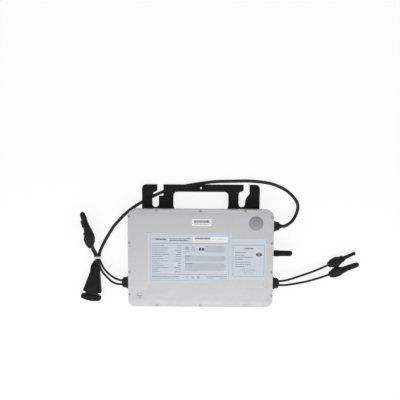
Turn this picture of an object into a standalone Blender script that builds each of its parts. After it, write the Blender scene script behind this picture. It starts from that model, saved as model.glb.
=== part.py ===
"""Microinverter for solar panels, with its bracket, cable glands, leads, plugs and stub antenna.

Blender 4.5, +Z up. The fins stand on z = 0, the printed cover faces up, and the bracket points to +Y.
Sizes and places are written in millimetres; MM turns them into Blender's metres.
"""

import math

import bmesh
import bpy
from mathutils import Matrix, Vector

MM = 0.001
GAP = 0.3

# Housing: a die-cast box with cooling fins under its floor.
BODY_WIDTH = 331.0
BODY_DEPTH = 225.0
BODY_CORNER = 16.5
HOUSING_INSET = 0.7
WALL = 7.5
FIN_HEIGHT = 12.6
FLOOR_TOP = 15.6
RIM_TOP = 37.9
FIN_THICKNESS = 3.0
FIN_PITCH = 11.0
FINS_EACH_SIDE = 13
FIRST_FIN_X = 17.0
FIN_LOW_Y = -108.0
FIN_HIGH_Y = 80.0
CENTRE_RIB = 16.0
HOUSING_HALF_WIDTH = BODY_WIDTH / 2 - HOUSING_INSET
HOUSING_HALF_DEPTH = BODY_DEPTH / 2 - HOUSING_INSET

# Cover, its gasket and its screws.
COVER_BOTTOM = 38.2
COVER_TOP = 42.0
COVER_BEVEL = 0.7
GASKET_CENTRE_LINE = 5.8
GASKET_WIDTH = 2.2
GROOVE_WIDTH = 2.8
GROOVE_DEPTH = 1.2
SCREW_X = 162.0
SCREW_ROWS = (95.8, 35.7, -31.4, -85.1)
SCREW_Y = 109.6
SCREW_COLUMNS = (-100.0, 0.0, 100.0)
SCREW_HEAD_RADIUS = 2.75
SCREW_SHANK_RADIUS = 1.5
SCREW_BOTTOM = 27.0
SCREW_SIDES = 10

# Bracket: one bent-free steel plate with a handle opening and two keyed slots.
BRACKET_HALF_WIDTH = 136.0
BRACKET_LOW_Y = 84.0
BRACKET_HIGH_Y = 167.3
BRACKET_CORNER = 10.0
BRACKET_BOTTOM = 9.8
BRACKET_TOP = 12.3
HANDLE_HALF_WIDTH = 63.3
HANDLE_LOW_Y = 103.7
HANDLE_HIGH_Y = 150.2
HANDLE_LOW_CORNER = 16.0
HANDLE_HIGH_CORNER = 9.0
HANG_HOLE = (0.0, 159.0)
HANG_HOLE_RADIUS = 2.1
BRACKET_SCREW_X = (-118.0, -45.0, 45.0, 118.0)
BRACKET_SCREW_Y = 96.0
BRACKET_SCREW_RADIUS = 2.5

# Side fittings, all on one height.
FITTING_Z = 24.5
AC_GLAND_Y = 73.3
DC_GLAND_Y = -60.5
DC_LEAD_OFFSET = 4.7
ANTENNA_Y = 10.0

# Leads.
AC_DIAMETER = 7.7
DC_DIAMETER = 5.0
AC_SPACING = 12.0
DC_SPACING = 6.0
LEAD_START_X = 156.2

# Plugs on the leads.
PLUG_Z = 8.6
PLUG_FLATTEN = 0.69
WIDE_PLUG_FLATTEN = 0.7
TOP_PLUG_Z = 25.5
AC_PLUG_PLACE = (-243.9, -12.7)
AC_PLUG_TURN = -9.0
AC_NECK_Z = 7.3
AC_NECK_FLATTEN = 0.58

# Routes of the leads, from the housing outwards.
AC_ROUTE = (
    (156.2, 73.3, 24.5), (176.0, 73.3, 24.5), (189.5, 73.3, 24.5), (194.0, 74.3, 24.1), (199.4, 76.8, 22.8),
    (207.8, 81.8, 18.8), (215.5, 89.5, 13.5), (221.8, 100.1, 8.4), (225.7, 111.6, 4.9),
    (226.0, 118.8, 4.1), (223.5, 127.2, 3.87), (218.2, 135.1, 3.87), (208.5, 145.5, 3.87),
    (194.9, 156.0, 3.87), (175.5, 165.2, 3.87), (156.1, 170.8, 3.87), (119.8, 175.1, 3.87),
    (71.8, 174.8, 3.87), (25.0, 172.8, 3.87), (-26.9, 165.1, 3.87), (-58.0, 158.4, 3.87),
    (-88.2, 149.5, 3.87), (-137.2, 125.3, 3.87), (-172.1, 100.8, 3.87), (-198.7, 73.3, 3.87),
    (-210.9, 56.3, 3.87), (-223.3, 35.5, 3.87), (-231.9, 18.5, 3.87), (-236.1, 8.7, 4.8),
    (-239.1, -2.8, 6.0), (-240.8, -8.3, 6.7), (-242.0, -12.0, 7.2),
)
DC_RIGHT_UPPER_ROUTE = (
    (156.2, -55.8, 24.5), (166.0, -55.8, 24.5), (176.0, -55.8, 24.5), (185.0, -55.8, 24.5), (192.5, -55.0, 24.2),
    (198.5, -54.1, 23.6), (205.0, -52.8, 22.7), (213.0, -50.9, 21.2), (221.5, -48.6, 19.3), (229.5, -46.4, 17.4),
    (239.0, -43.7, 15.4), (249.0, -40.9, 13.6), (258.4, -38.0, 12.0), (268.0, -34.6, 10.7), (277.0, -31.1, 9.7),
    (285.6, -27.4, 9.0), (298.4, -21.5, 8.6),
)
DC_RIGHT_LOWER_ROUTE = (
    (156.2, -65.2, 24.5), (166.0, -65.2, 24.5), (176.0, -65.2, 24.5), (185.0, -65.3, 24.5), (192.5, -65.4, 24.2),
    (200.5, -65.1, 23.2), (209.5, -64.3, 21.7), (220.0, -63.3, 19.4), (231.0, -62.0, 17.1), (242.0, -60.6, 14.9),
    (253.0, -58.5, 12.9), (264.5, -55.8, 11.2), (275.9, -52.9, 9.8), (285.0, -50.1, 9.0), (294.0, -47.0, 8.7),
    (302.1, -44.1, 8.6),
)
DC_LEFT_UPPER_ROUTE = (
    (-156.2, -55.8, 24.5), (-176.0, -55.8, 24.5), (-185.0, -55.8, 24.5), (-191.5, -54.3, 24.1),
    (-197.8, -51.9, 23.3), (-206.2, -47.5, 21.8), (-215.4, -40.4, 19.9), (-225.5, -29.4, 17.9),
    (-231.4, -18.9, 15.8), (-235.8, -9.9, 13.9), (-238.9, -3.6, 13.3), (-242.5, 4.6, 15.0),
    (-245.6, 12.6, 18.6), (-247.8, 20.2, 23.2), (-249.1, 25.0, 25.2), (-249.8, 28.0, 25.5),
)
DC_LEFT_LOWER_ROUTE = (
    (-156.2, -65.2, 24.5), (-176.0, -65.2, 24.5), (-185.0, -65.4, 24.5), (-191.2, -65.1, 24.1),
    (-199.0, -63.4, 22.8), (-208.1, -58.8, 21.2), (-217.6, -50.4, 19.4), (-227.2, -39.8, 17.8),
    (-233.4, -29.4, 17.0), (-239.0, -17.8, 15.6), (-243.2, -8.2, 13.9), (-246.8, -0.5, 11.6),
    (-250.1, 6.2, 9.8), (-253.1, 11.2, 8.9), (-255.9, 15.3, 8.6),
)

# Labels: name, low corner, high corner, corner radius.
LABEL_LOW = 42.05
LABEL_HIGH = 42.3
LABELS = (
    ("serial_label", (-19.9, 75.4), (24.5, 91.3), 1.5),
    ("rating_label", (-121.2, -55.0), (71.3, 59.8), 2.0),
    ("side_label", (71.8, -47.5), (149.2, 46.8), 2.0),
)
ROUND_STICKER = (125.1, 81.9, 16.5)

# Colour, roughness and metallic value of each material.
LOOKS = {
    "aluminium": ((0.62, 0.62, 0.63), 0.42, 1.0),
    "cast_aluminium": ((0.52, 0.52, 0.53), 0.5, 1.0),
    "black_steel": ((0.012, 0.012, 0.013), 0.55, 0.0),
    "steel": ((0.42, 0.41, 0.39), 0.35, 1.0),
    "gasket_rubber": ((0.03, 0.03, 0.03), 0.8, 0.0),
    "black_nylon": ((0.016, 0.016, 0.018), 0.45, 0.0),
    "black_rubber": ((0.012, 0.012, 0.012), 0.7, 0.0),
    "lead_jacket": ((0.02, 0.019, 0.018), 0.55, 0.0),
    "plug_plastic": ((0.03, 0.031, 0.034), 0.45, 0.0),
    "white_nylon": ((0.86, 0.86, 0.86), 0.4, 0.0),
    "blue_paper": ((0.6, 0.66, 0.73), 0.5, 0.0),
    "white_paper": ((0.88, 0.88, 0.89), 0.5, 0.0),
    "grey_foil": ((0.32, 0.35, 0.37), 0.5, 0.0),
    "brass": ((0.7, 0.52, 0.25), 0.35, 1.0),
    "circuit_board": ((0.02, 0.12, 0.05), 0.5, 0.0),
    "ferrite": ((0.08, 0.08, 0.085), 0.6, 0.0),
    "copper": ((0.7, 0.33, 0.15), 0.4, 1.0),
    "capacitor_sleeve": ((0.05, 0.06, 0.12), 0.4, 0.0),
    "green_plastic": ((0.05, 0.25, 0.1), 0.5, 0.0),
}


def clear_scene():
    for obj in list(bpy.data.objects):
        bpy.data.objects.remove(obj, do_unlink=True)


def new_collection(name):
    collection = bpy.data.collections.new(name)
    bpy.context.scene.collection.children.link(collection)
    return collection


def material(look):
    if look in bpy.data.materials:
        return bpy.data.materials[look]
    colour, roughness, metallic = LOOKS[look]
    made = bpy.data.materials.new(look)
    made.use_nodes = True
    shader = made.node_tree.nodes["Principled BSDF"]
    shader.inputs["Base Color"].default_value = (*colour, 1.0)
    shader.inputs["Roughness"].default_value = roughness
    shader.inputs["Metallic"].default_value = metallic
    return made


def keep(obj, look):
    """Gives a finished sub-part its one material."""
    obj.data.materials.clear()
    obj.data.materials.append(material(look))
    return obj


# ---------------------------------------------------------------- shapes


def link_mesh(name, mesh):
    obj = bpy.data.objects.new(name, mesh)
    parts.objects.link(obj)
    return obj


def settle(obj):
    """Replaces a curve, or a mesh with modifiers, by one closed mesh with outward faces."""
    graph = bpy.context.evaluated_depsgraph_get()
    mesh = bpy.data.meshes.new_from_object(obj.evaluated_get(graph))
    name = obj.name
    bpy.data.objects.remove(obj, do_unlink=True)
    work = bmesh.new()
    work.from_mesh(mesh)
    bmesh.ops.remove_doubles(work, verts=work.verts, dist=1e-6)
    bmesh.ops.recalc_face_normals(work, faces=work.faces)
    work.to_mesh(mesh)
    work.free()
    return link_mesh(name, mesh)


def arc(centre, radius, start, end, steps=5):
    """Points along an arc; the angles are in degrees."""
    points = []
    for step in range(steps + 1):
        angle = math.radians(start + (end - start) * step / steps)
        points.append((centre[0] + radius * math.cos(angle), centre[1] + radius * math.sin(angle)))
    return points


def circle(centre, radius, sides):
    return arc(centre, radius, 0, 360 * (sides - 1) / sides, sides - 1)


def rounded_rectangle(low, high, radius, steps=5):
    corners = ((high[0], high[1], 0), (low[0], high[1], 90), (low[0], low[1], 180), (high[0], low[1], 270))
    points = []
    for x, y, start in corners:
        centre = (x - math.copysign(radius, x - low[0] - 0.001), y - math.copysign(radius, y - low[1] - 0.001))
        points += arc(centre, radius, start, start + 90, steps)
    return points


def slab(name, outlines, low, high):
    """A flat outline, with any further outlines as holes, thick from low to high."""
    curve = bpy.data.curves.new(name, "CURVE")
    curve.dimensions = "2D"
    curve.fill_mode = "BOTH"
    curve.extrude = (high - low) / 2 * MM
    for outline in outlines:
        spline = curve.splines.new("POLY")
        spline.points.add(len(outline) - 1)
        for point, (x, y) in zip(spline.points, outline):
            point.co = (x * MM, y * MM, 0.0, 1.0)
        spline.use_cyclic_u = True
    obj = bpy.data.objects.new(name, curve)
    parts.objects.link(obj)
    obj = settle(obj)
    obj.data.transform(Matrix.Translation((0, 0, (low + high) / 2 * MM)))
    return obj


def blocks(name, boxes=(), rods=()):
    """Boxes (low corner, high corner) and upright rods (x, y, radius, low, high, sides) in one mesh."""
    work = bmesh.new()
    for low, high in boxes:
        centre = [(a + b) / 2 * MM for a, b in zip(low, high)]
        size = [(b - a) * MM for a, b in zip(low, high)]
        bmesh.ops.create_cube(work, size=1.0, matrix=Matrix.LocRotScale(centre, None, size))
    for x, y, radius, low, high, sides in rods:
        place = Matrix.Translation((x * MM, y * MM, (low + high) / 2 * MM))
        bmesh.ops.create_cone(
            work, cap_ends=True, segments=sides, radius1=radius * MM, radius2=radius * MM,
            depth=(high - low) * MM, matrix=place,
        )
    mesh = bpy.data.meshes.new(name)
    work.to_mesh(mesh)
    work.free()
    return link_mesh(name, mesh)


def turned(name, profile, sides=16, ring=False):
    """Spins (radius, height) points about local Z; a ring's profile closes on itself."""
    count = len(profile)
    mesh = bpy.data.meshes.new(name)
    edges = [(i, i + 1) for i in range(count - 1)]
    if ring:
        edges.append((count - 1, 0))
    mesh.from_pydata([(radius * MM, 0.0, height * MM) for radius, height in profile], edges, [])
    obj = link_mesh(name, mesh)
    screw = obj.modifiers.new("Screw", "SCREW")
    screw.steps = sides
    screw.render_steps = sides
    screw.use_merge_vertices = True
    screw.merge_threshold = 0.00001
    return settle(obj)


def aim(obj, place, direction, flatten=1.0):
    """Puts the local origin at place and local Z along direction; flatten squeezes it towards the floor."""
    forward = Vector(direction).normalized()
    side = Vector((0, 0, 1)).cross(forward).normalized()
    turn = Matrix((side, forward.cross(side), forward)).transposed().to_4x4()
    squeeze = Matrix.Diagonal((1.0, flatten, 1.0, 1.0))
    obj.matrix_world = Matrix.Translation(Vector(place) * MM) @ turn @ squeeze
    return obj


def carve(target, tool, operation="DIFFERENCE"):
    """Cuts a tool from a part, or joins it on, and puts the tool with the cutters."""
    parts.objects.unlink(tool)
    cutters.objects.link(tool)
    tool.hide_render = True
    tool.display_type = "WIRE"
    step = target.modifiers.new(tool.name, "BOOLEAN")
    step.solver = "EXACT"
    step.operation = operation
    step.object = tool
    return target


def smooth_route(route, spacing):
    """Evenly spaced points on a smooth curve through the route's points."""
    knots = [Vector(point) for point in route]
    knots = [2 * knots[0] - knots[1]] + knots + [2 * knots[-1] - knots[-2]]
    fine = [knots[1]]
    for a, b, c, d in zip(knots, knots[1:], knots[2:], knots[3:]):
        for step in range(1, 13):
            t = step / 12
            fine.append(
                0.5 * (2 * b + (c - a) * t + (2 * a - 5 * b + 4 * c - d) * t * t + (3 * b - a - 3 * c + d) * t**3)
            )
    lengths = [0.0]
    for a, b in zip(fine, fine[1:]):
        lengths.append(lengths[-1] + (b - a).length)
    count = max(2, round(lengths[-1] / spacing))
    points = []
    index = 0
    for step in range(count + 1):
        wanted = lengths[-1] * step / count
        while index < len(lengths) - 2 and lengths[index + 1] < wanted:
            index += 1
        share = (wanted - lengths[index]) / (lengths[index + 1] - lengths[index])
        points.append(fine[index].lerp(fine[index + 1], share))
    return points


def lead(name, route, diameter, spacing):
    """A free lead: a plain tube along its route, never below the floor."""
    curve = bpy.data.curves.new(name, "CURVE")
    curve.dimensions = "3D"
    curve.bevel_depth = diameter / 2 * MM
    curve.bevel_resolution = 2
    curve.use_fill_caps = True
    points = smooth_route(route, spacing)
    spline = curve.splines.new("POLY")
    spline.points.add(len(points) - 1)
    for knot, point in zip(spline.points, points):
        height = max(point.z, diameter / 2 + 0.02)
        knot.co = (point.x * MM, point.y * MM, height * MM, 1.0)
    obj = bpy.data.objects.new(name, curve)
    parts.objects.link(obj)
    return keep(obj, "lead_jacket")


# ---------------------------------------------------------------- housing and cover


def cover_screw_places():
    places = [(side * SCREW_X, y) for y in SCREW_ROWS for side in (-1, 1)]
    return places + [(x, side * SCREW_Y) for x in SCREW_COLUMNS for side in (-1, 1)]


def body_outline(inset):
    half_width = BODY_WIDTH / 2 - inset
    half_depth = BODY_DEPTH / 2 - inset
    return rounded_rectangle((-half_width, -half_depth), (half_width, half_depth), BODY_CORNER - inset)


def side_hole(name, side, y, radius, depth, sides=16):
    """A cutter for a round hole through a side wall."""
    tool = turned(name, [(0, depth), (radius, depth), (radius, -depth), (0, -depth)], sides)
    return aim(tool, (side * (HOUSING_HALF_WIDTH - WALL / 2), y, FITTING_Z), (side, 0, 0))


def housing():
    body = slab("housing", [body_outline(HOUSING_INSET)], FIN_HEIGHT, RIM_TOP)
    inside = slab("housing_inside", [body_outline(HOUSING_INSET + WALL)], FLOOR_TOP, RIM_TOP + 2)
    carve(body, inside)
    ribs = [((-CENTRE_RIB / 2, FIN_LOW_Y, 0.0), (CENTRE_RIB / 2, FIN_HIGH_Y, FIN_HEIGHT + 1))]
    for number in range(FINS_EACH_SIDE):
        for side in (-1, 1):
            x = side * (FIRST_FIN_X + number * FIN_PITCH)
            low = (x - FIN_THICKNESS / 2, FIN_LOW_Y, 0.0)
            ribs.append((low, (x + FIN_THICKNESS / 2, FIN_HIGH_Y, FIN_HEIGHT + 1)))
    bosses = [(x, BRACKET_SCREW_Y, 5.5, FLOOR_TOP - 1, 19.5, 12) for x in BRACKET_SCREW_X]
    bosses += [(x, -80.0, 4.5, FLOOR_TOP - 1, 19.5, 12) for x in (-120.0, 120.0)]
    carve(body, blocks("housing_ribs", ribs, bosses), "UNION")
    mid = HOUSING_INSET + GASKET_CENTRE_LINE
    groove = [body_outline(mid - GROOVE_WIDTH / 2), body_outline(mid + GROOVE_WIDTH / 2)]
    carve(body, slab("housing_groove", groove, RIM_TOP - GROOVE_DEPTH, RIM_TOP + 1))
    holes = [(x, y, SCREW_SHANK_RADIUS + 0.3, SCREW_BOTTOM - 1, RIM_TOP + 1, SCREW_SIDES)
             for x, y in cover_screw_places()]
    holes += [(x, BRACKET_SCREW_Y, BRACKET_SCREW_RADIUS + 0.3, FIN_HEIGHT - 1, 17.5, 12)
              for x in BRACKET_SCREW_X]
    carve(body, blocks("housing_screw_holes", rods=holes))
    carve(body, side_hole("ac_gland_hole", 1, AC_GLAND_Y, 8.6, WALL))
    carve(body, side_hole("dc_right_gland_hole", 1, DC_GLAND_Y, 10.1, WALL))
    carve(body, side_hole("dc_left_gland_hole", -1, DC_GLAND_Y, 10.1, WALL))
    carve(body, side_hole("antenna_hole", 1, ANTENNA_Y, 3.5, WALL))
    return keep(body, "cast_aluminium")


def cover():
    plate = slab("cover_plate", [body_outline(0.0)], COVER_BOTTOM, COVER_TOP)
    edge = plate.modifiers.new("Edge", "BEVEL")
    edge.width = COVER_BEVEL * MM
    edge.segments = 1
    edge.limit_method = "ANGLE"
    edge.angle_limit = math.radians(60)
    plate = settle(plate)
    profile = [
        (0, 1.0), (SCREW_HEAD_RADIUS + 0.3, 1.0), (SCREW_HEAD_RADIUS + 0.3, -0.4),
        (SCREW_SHANK_RADIUS + 0.3, -1.9), (SCREW_SHANK_RADIUS + 0.3, -6.0), (0, -6.0),
    ]
    for number, (x, y) in enumerate(cover_screw_places(), 1):
        tool = turned(f"countersink_{number:02d}", profile, SCREW_SIDES)
        tool.location = (x * MM, y * MM, COVER_TOP * MM)
        carve(plate, tool)
    keep(plate, "aluminium")
    middle = HOUSING_INSET + GASKET_CENTRE_LINE
    ring = [body_outline(middle - GASKET_WIDTH / 2), body_outline(middle + GASKET_WIDTH / 2)]
    keep(slab("cover_gasket", ring, RIM_TOP - GROOVE_DEPTH + 0.2, RIM_TOP + 0.1), "gasket_rubber")


def cover_screws():
    """Countersunk screws, their heads level with the cover."""
    length = COVER_TOP - 0.1 - SCREW_BOTTOM
    profile = [
        (0, -0.1), (SCREW_HEAD_RADIUS, -0.1), (SCREW_HEAD_RADIUS, -0.4),
        (SCREW_SHANK_RADIUS, -1.7), (SCREW_SHANK_RADIUS, -length), (0, -length),
    ]
    for number, (x, y) in enumerate(cover_screw_places(), 1):
        screw = turned(f"cover_screw_{number:02d}", profile, SCREW_SIDES)
        screw.location = (x * MM, y * MM, COVER_TOP * MM)
        keep(screw, "steel")


# ---------------------------------------------------------------- bracket


def bracket_outline():
    """The plate's edge, anticlockwise from its lower right corner, with both keyed slots."""
    w, low, high, r = BRACKET_HALF_WIDTH, BRACKET_LOW_Y, BRACKET_HIGH_Y, BRACKET_CORNER
    right_slot = [(112.0, high), (112.0, 147.0), (111.0, 142.5), (106.5, 138.6), (103.2, 132.5)]
    right_slot += arc((94.6, 122.8), 7.4, 0, -180, 8)
    right_slot += [(87.2, 149.0), (98.6, 153.2), (98.6, high)]
    left_slot = [(-86.6, high), (-86.6, 141.0), (-97.2, 141.0)]
    left_slot += arc((-104.6, 122.0), 7.4, 0, -180, 8)
    left_slot += [(-112.0, 136.0), (-110.4, 141.0), (-110.4, 148.0), (-100.4, 153.0), (-100.4, high)]
    outline = [(w, low)] + arc((w - r, high - r), r, 0, 90)
    outline += right_slot + left_slot
    outline += arc((r - w, high - r), r, 90, 180) + [(-w, low)]
    return outline


def handle_outline():
    """The opening for a hand, with wider corners on the side of the housing."""
    x, r = HANDLE_HALF_WIDTH - HANDLE_HIGH_CORNER, HANDLE_HIGH_CORNER
    points = arc((x, HANDLE_HIGH_Y - r), r, 0, 90) + arc((-x, HANDLE_HIGH_Y - r), r, 90, 180)
    x, r = HANDLE_HALF_WIDTH - HANDLE_LOW_CORNER, HANDLE_LOW_CORNER
    return points + arc((-x, HANDLE_LOW_Y + r), r, 180, 270) + arc((x, HANDLE_LOW_Y + r), r, 270, 360)


def bracket():
    holes = [handle_outline(), circle(HANG_HOLE, HANG_HOLE_RADIUS, 12)]
    holes += [circle((x, BRACKET_SCREW_Y), BRACKET_SCREW_RADIUS + 0.3, 12) for x in BRACKET_SCREW_X]
    keep(slab("mounting_bracket", [bracket_outline()] + holes, BRACKET_BOTTOM, BRACKET_TOP), "black_steel")
    head_top = BRACKET_BOTTOM - GAP
    profile = [
        (0, 17.0), (BRACKET_SCREW_RADIUS, 17.0), (BRACKET_SCREW_RADIUS, head_top),
        (4.6, head_top), (4.6, 6.6), (3.4, 5.8), (0, 5.8),
    ]
    for number, x in enumerate(BRACKET_SCREW_X, 1):
        screw = turned(f"bracket_screw_{number}", profile, 12)
        screw.location = (x * MM, BRACKET_SCREW_Y * MM, 0.0)
        keep(screw, "steel")


# ---------------------------------------------------------------- glands and antenna


def hex_nut(name, across_flats, length, bore, lip, lip_hole):
    """A cap nut along local Z: a threaded bore closed by a lip with a smaller hole."""
    flat = across_flats / 2
    corner = across_flats / math.sqrt(3)
    nut = turned(name, [
        (lip_hole, length), (flat - 0.2, length), (corner, length - 1.2), (corner, 0.7), (flat + 0.3, 0.0),
        (bore, 0.0), (bore, length - lip), (lip_hole, length - lip),
    ], 24, ring=True)
    prism = blocks(name + "_hexagon", rods=[(0, 0, corner, -1.0, length + 1.0, 6)])
    carve(nut, prism, "INTERSECT")
    return settle_cut(nut)


def settle_cut(obj):
    """Applies the cuts and drops the cutters that only this part used."""
    tools = [step.object for step in obj.modifiers]
    obj = settle(obj)
    for tool in tools:
        bpy.data.objects.remove(tool, do_unlink=True)
    return obj


def gland(prefix, side, y, size):
    """One cable gland: a flanged body, a rubber insert and the cap nut that presses it."""
    flange, neck, stub, bore, across_flats, nut_hole, nose = size
    outside = HOUSING_HALF_WIDTH + GAP
    place = (side * outside, y, FITTING_Z)
    direction = (side, 0, 0)
    inner = stub - 1.3
    body = turned(prefix + "_body", [
        (inner, 13.8), (stub, 13.8), (stub, 9.0), (neck, 8.8), (flange - 1.2, 5.4), (flange, 4.8),
        (flange, 0.0), (bore, 0.0), (bore, -8.0), (inner, -8.0),
    ], 20, ring=True)
    trim = blocks(prefix + "_flats", boxes=[
        ((-40, 12.0, -20), (40, 30, 20)), ((-40, -30, -20), (40, -12.0, 20)),
    ])
    aim(trim, place, direction)
    aim(body, place, direction)
    carve(body, trim)
    keep(body, "black_nylon")
    nut = hex_nut(prefix + "_nut", across_flats, 6.4, stub + 0.35, 1.4, nut_hole)
    aim(nut, (side * (outside + 9.3), y, FITTING_Z), direction)
    keep(nut, "black_nylon")
    seal = inner - 0.3
    profile = [(0, nose[-1][1]), *reversed(nose), (nut_hole - 0.4, 14.1)]
    insert = turned(prefix + "_insert", profile + [(seal, 14.1), (seal, 0.5), (0, 0.5)], 20)
    return insert, place, direction


def bore_insert(insert, place, direction, hole, offsets):
    """Drills the rubber insert for its leads and puts it in the gland."""
    rods = [(x, 0, hole, -1.0, 22.0, 16) for x in offsets]
    tool = blocks(insert.name + "_bores", rods=rods)
    carve(insert, tool)
    insert = settle_cut(insert)
    aim(insert, place, direction)
    keep(insert, "black_rubber")


def glands():
    """One gland for the mains lead and one at each side for a pair of panel leads."""
    ac = (13.0, 10.4, 7.4, 8.0, 18.0, 6.2, ((5.8, 16.0), (5.0, 19.0), (4.7, 20.5)))
    dc = (14.4, 12.4, 9.6, 9.5, 22.0, 8.4, ((8.0, 16.4), (7.8, 16.9)))
    bore_insert(*gland("ac_gland", 1, AC_GLAND_Y, ac), AC_DIAMETER / 2 + GAP, (0.0,))
    pair = (-DC_LEAD_OFFSET, DC_LEAD_OFFSET)
    bore_insert(*gland("dc_right_gland", 1, DC_GLAND_Y, dc), DC_DIAMETER / 2 + GAP, pair)
    bore_insert(*gland("dc_left_gland", -1, DC_GLAND_Y, dc), DC_DIAMETER / 2 + GAP, pair)


def antenna():
    """A rubber stub that screws onto a jack, with a seal ring between them."""
    place = (HOUSING_HALF_WIDTH + GAP, ANTENNA_Y, FITTING_Z)
    jack = turned("antenna_jack", [
        (0, 12.0), (2.9, 12.0), (3.1, 11.4), (3.1, 2.6), (6.6, 2.6), (6.6, 0.0), (3.1, 0.0), (3.1, -12.0), (0, -12.0),
    ], 16)
    aim(jack, place, (1, 0, 0))
    keep(jack, "brass")
    ring = turned("antenna_seal_ring", [(6.2, 4.1), (6.2, 2.9), (3.6, 2.9), (3.6, 4.1)], 20, ring=True)
    aim(ring, place, (1, 0, 0))
    keep(ring, "gasket_rubber")
    stub = turned("antenna", [
        (0, 46.6), (2.4, 46.3), (4.7, 45.0), (5.9, 43.0), (6.3, 40.5), (6.5, 18.0), (7.0, 13.0), (7.3, 4.4),
        (3.5, 4.4), (3.5, 13.5), (0, 13.5),
    ], 20)
    aim(stub, place, (1, 0, 0))
    keep(stub, "black_rubber")


# ---------------------------------------------------------------- leads, plugs and tie


PIN_PLUG = (
    (0, 70.2), (2.4, 69.8), (3.9, 67.6), (3.9, 44.2), (5.2, 42.5), (7.4, 38.6), (8.2, 34.0), (10.9, 26.0),
    (12.3, 20.0), (11.3, 12.0), (7.6, 5.0), (5.0, 0.0), (0, 0.0),
)
SOCKET_PLUG = (
    (0, 74.0), (3.6, 73.6), (5.4, 71.5), (6.3, 66.0), (6.2, 40.0), (7.3, 35.0), (9.0, 31.0), (10.8, 26.0),
    (11.4, 20.0), (10.9, 11.0), (8.2, 3.5), (6.0, 0.0), (0, 0.0),
)
WIDE_PLUG = (
    (0, 77.4), (2.6, 77.0), (5.0, 75.2), (6.6, 71.0), (6.8, 58.6), (7.4, 58.2), (7.8, 38.0), (9.3, 32.0),
    (10.6, 26.0), (11.4, 18.0), (10.6, 11.6), (8.0, 4.0), (4.4, 0.0), (0, 0.0),
)


def panel_plug(name, profile, tail, tip, height, flatten=PLUG_FLATTEN):
    plug = turned(name, profile, 16)
    aim(plug, (*tail, height), (tip[0] - tail[0], tip[1] - tail[1], 0), flatten)
    keep(plug, "plug_plastic")


def ac_plug():
    """A flat plug that widens away from its lead, with a cap pushed over its mating end."""
    outline = [(-10.9, -26), (-21.6, -75.4), (-19.8, -76.8), (19.8, -76.8), (21.6, -75.4), (10.9, -26)]
    body = slab("ac_plug", [outline], 0.1, 16.0)
    tongue = blocks("ac_plug_tongue", boxes=[((-14.5, -90.0, 6.5), (14.5, -70.0, 15.2))])
    carve(body, tongue, "UNION")
    neck = turned("ac_plug_neck", [
        (0, 27.5), (12.0, 27.5), (12.3, 16.0), (11.2, 11.5), (9.2, 7.5), (7.6, 4.0), (6.0, 1.2),
        (4.8, 0.0), (0, 0.0),
    ], 16)
    aim(neck, (0, 0, AC_NECK_Z), (0, -1, 0), AC_NECK_FLATTEN)
    carve(body, neck, "UNION")
    body = settle_cut(body)
    edge = [(0.0, -96.8), (11.0, -95.8), (21.5, -93.2), (23.5, -90.5), (23.4, -84.5), (22.4, -82.6)]
    cap = slab("ac_plug_cap", [edge + [(-x, y) for x, y in reversed(edge[1:])]], 0.1, 17.2)
    undercut = [((side * 17.0, -100.0, -1.0), (side * 30.0, -70.0, 8.5)) for side in (-1, 1)]
    pocket = ((-15.0, -91.0, 6.2), (15.0, -70.0, 15.6))
    carve(cap, blocks("ac_plug_cap_cuts", boxes=[pocket, *undercut]))
    cap = settle_cut(cap)
    for piece in (body, cap):
        piece.location = (AC_PLUG_PLACE[0] * MM, AC_PLUG_PLACE[1] * MM, 0.0)
        piece.rotation_euler = (0, 0, math.radians(AC_PLUG_TURN))
        keep(piece, "plug_plastic")


def cable_tie():
    """A loop around the three leads where they cross."""
    outer = rounded_rectangle((-8.9, -8.6), (8.9, 8.6), 5.0)
    inner = rounded_rectangle((-7.7, -7.4), (7.7, 7.4), 3.8)
    loop = slab("cable_tie", [outer, inner], -2.1, 2.1)
    aim(loop, (-241.5, -4.8, 9.2), (0.05, -1.0, 0.0))
    keep(loop, "white_nylon")


def leads():
    lead("ac_lead", AC_ROUTE, AC_DIAMETER, AC_SPACING)
    lead("dc_right_lead_upper", DC_RIGHT_UPPER_ROUTE, DC_DIAMETER, DC_SPACING)
    lead("dc_right_lead_lower", DC_RIGHT_LOWER_ROUTE, DC_DIAMETER, DC_SPACING)
    lead("dc_left_lead_upper", DC_LEFT_UPPER_ROUTE, DC_DIAMETER, DC_SPACING)
    lead("dc_left_lead_lower", DC_LEFT_LOWER_ROUTE, DC_DIAMETER, DC_SPACING)
    panel_plug("dc_right_pin_plug", PIN_PLUG, (299.1, -21.2), (362.8, 8.5), PLUG_Z)
    panel_plug("dc_right_socket_plug", SOCKET_PLUG, (302.4, -44.0), (371.5, -18.0), PLUG_Z)
    panel_plug("dc_left_socket_plug", WIDE_PLUG, (-250.2, 29.5), (-271.2, 101.8), TOP_PLUG_Z, WIDE_PLUG_FLATTEN)
    panel_plug("dc_left_pin_plug", PIN_PLUG, (-256.4, 16.3), (-277.9, 91.6), PLUG_Z)


# ---------------------------------------------------------------- labels and inner parts


def labels():
    for name, low, high, radius in LABELS:
        look = "white_paper" if name == "serial_label" else "blue_paper"
        keep(slab(name, [rounded_rectangle(low, high, radius, 3)], LABEL_LOW, LABEL_HIGH), look)
    x, y, radius = ROUND_STICKER
    keep(slab("round_sticker", [circle((x, y), radius, 28)], LABEL_LOW, LABEL_HIGH), "grey_foil")


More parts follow.
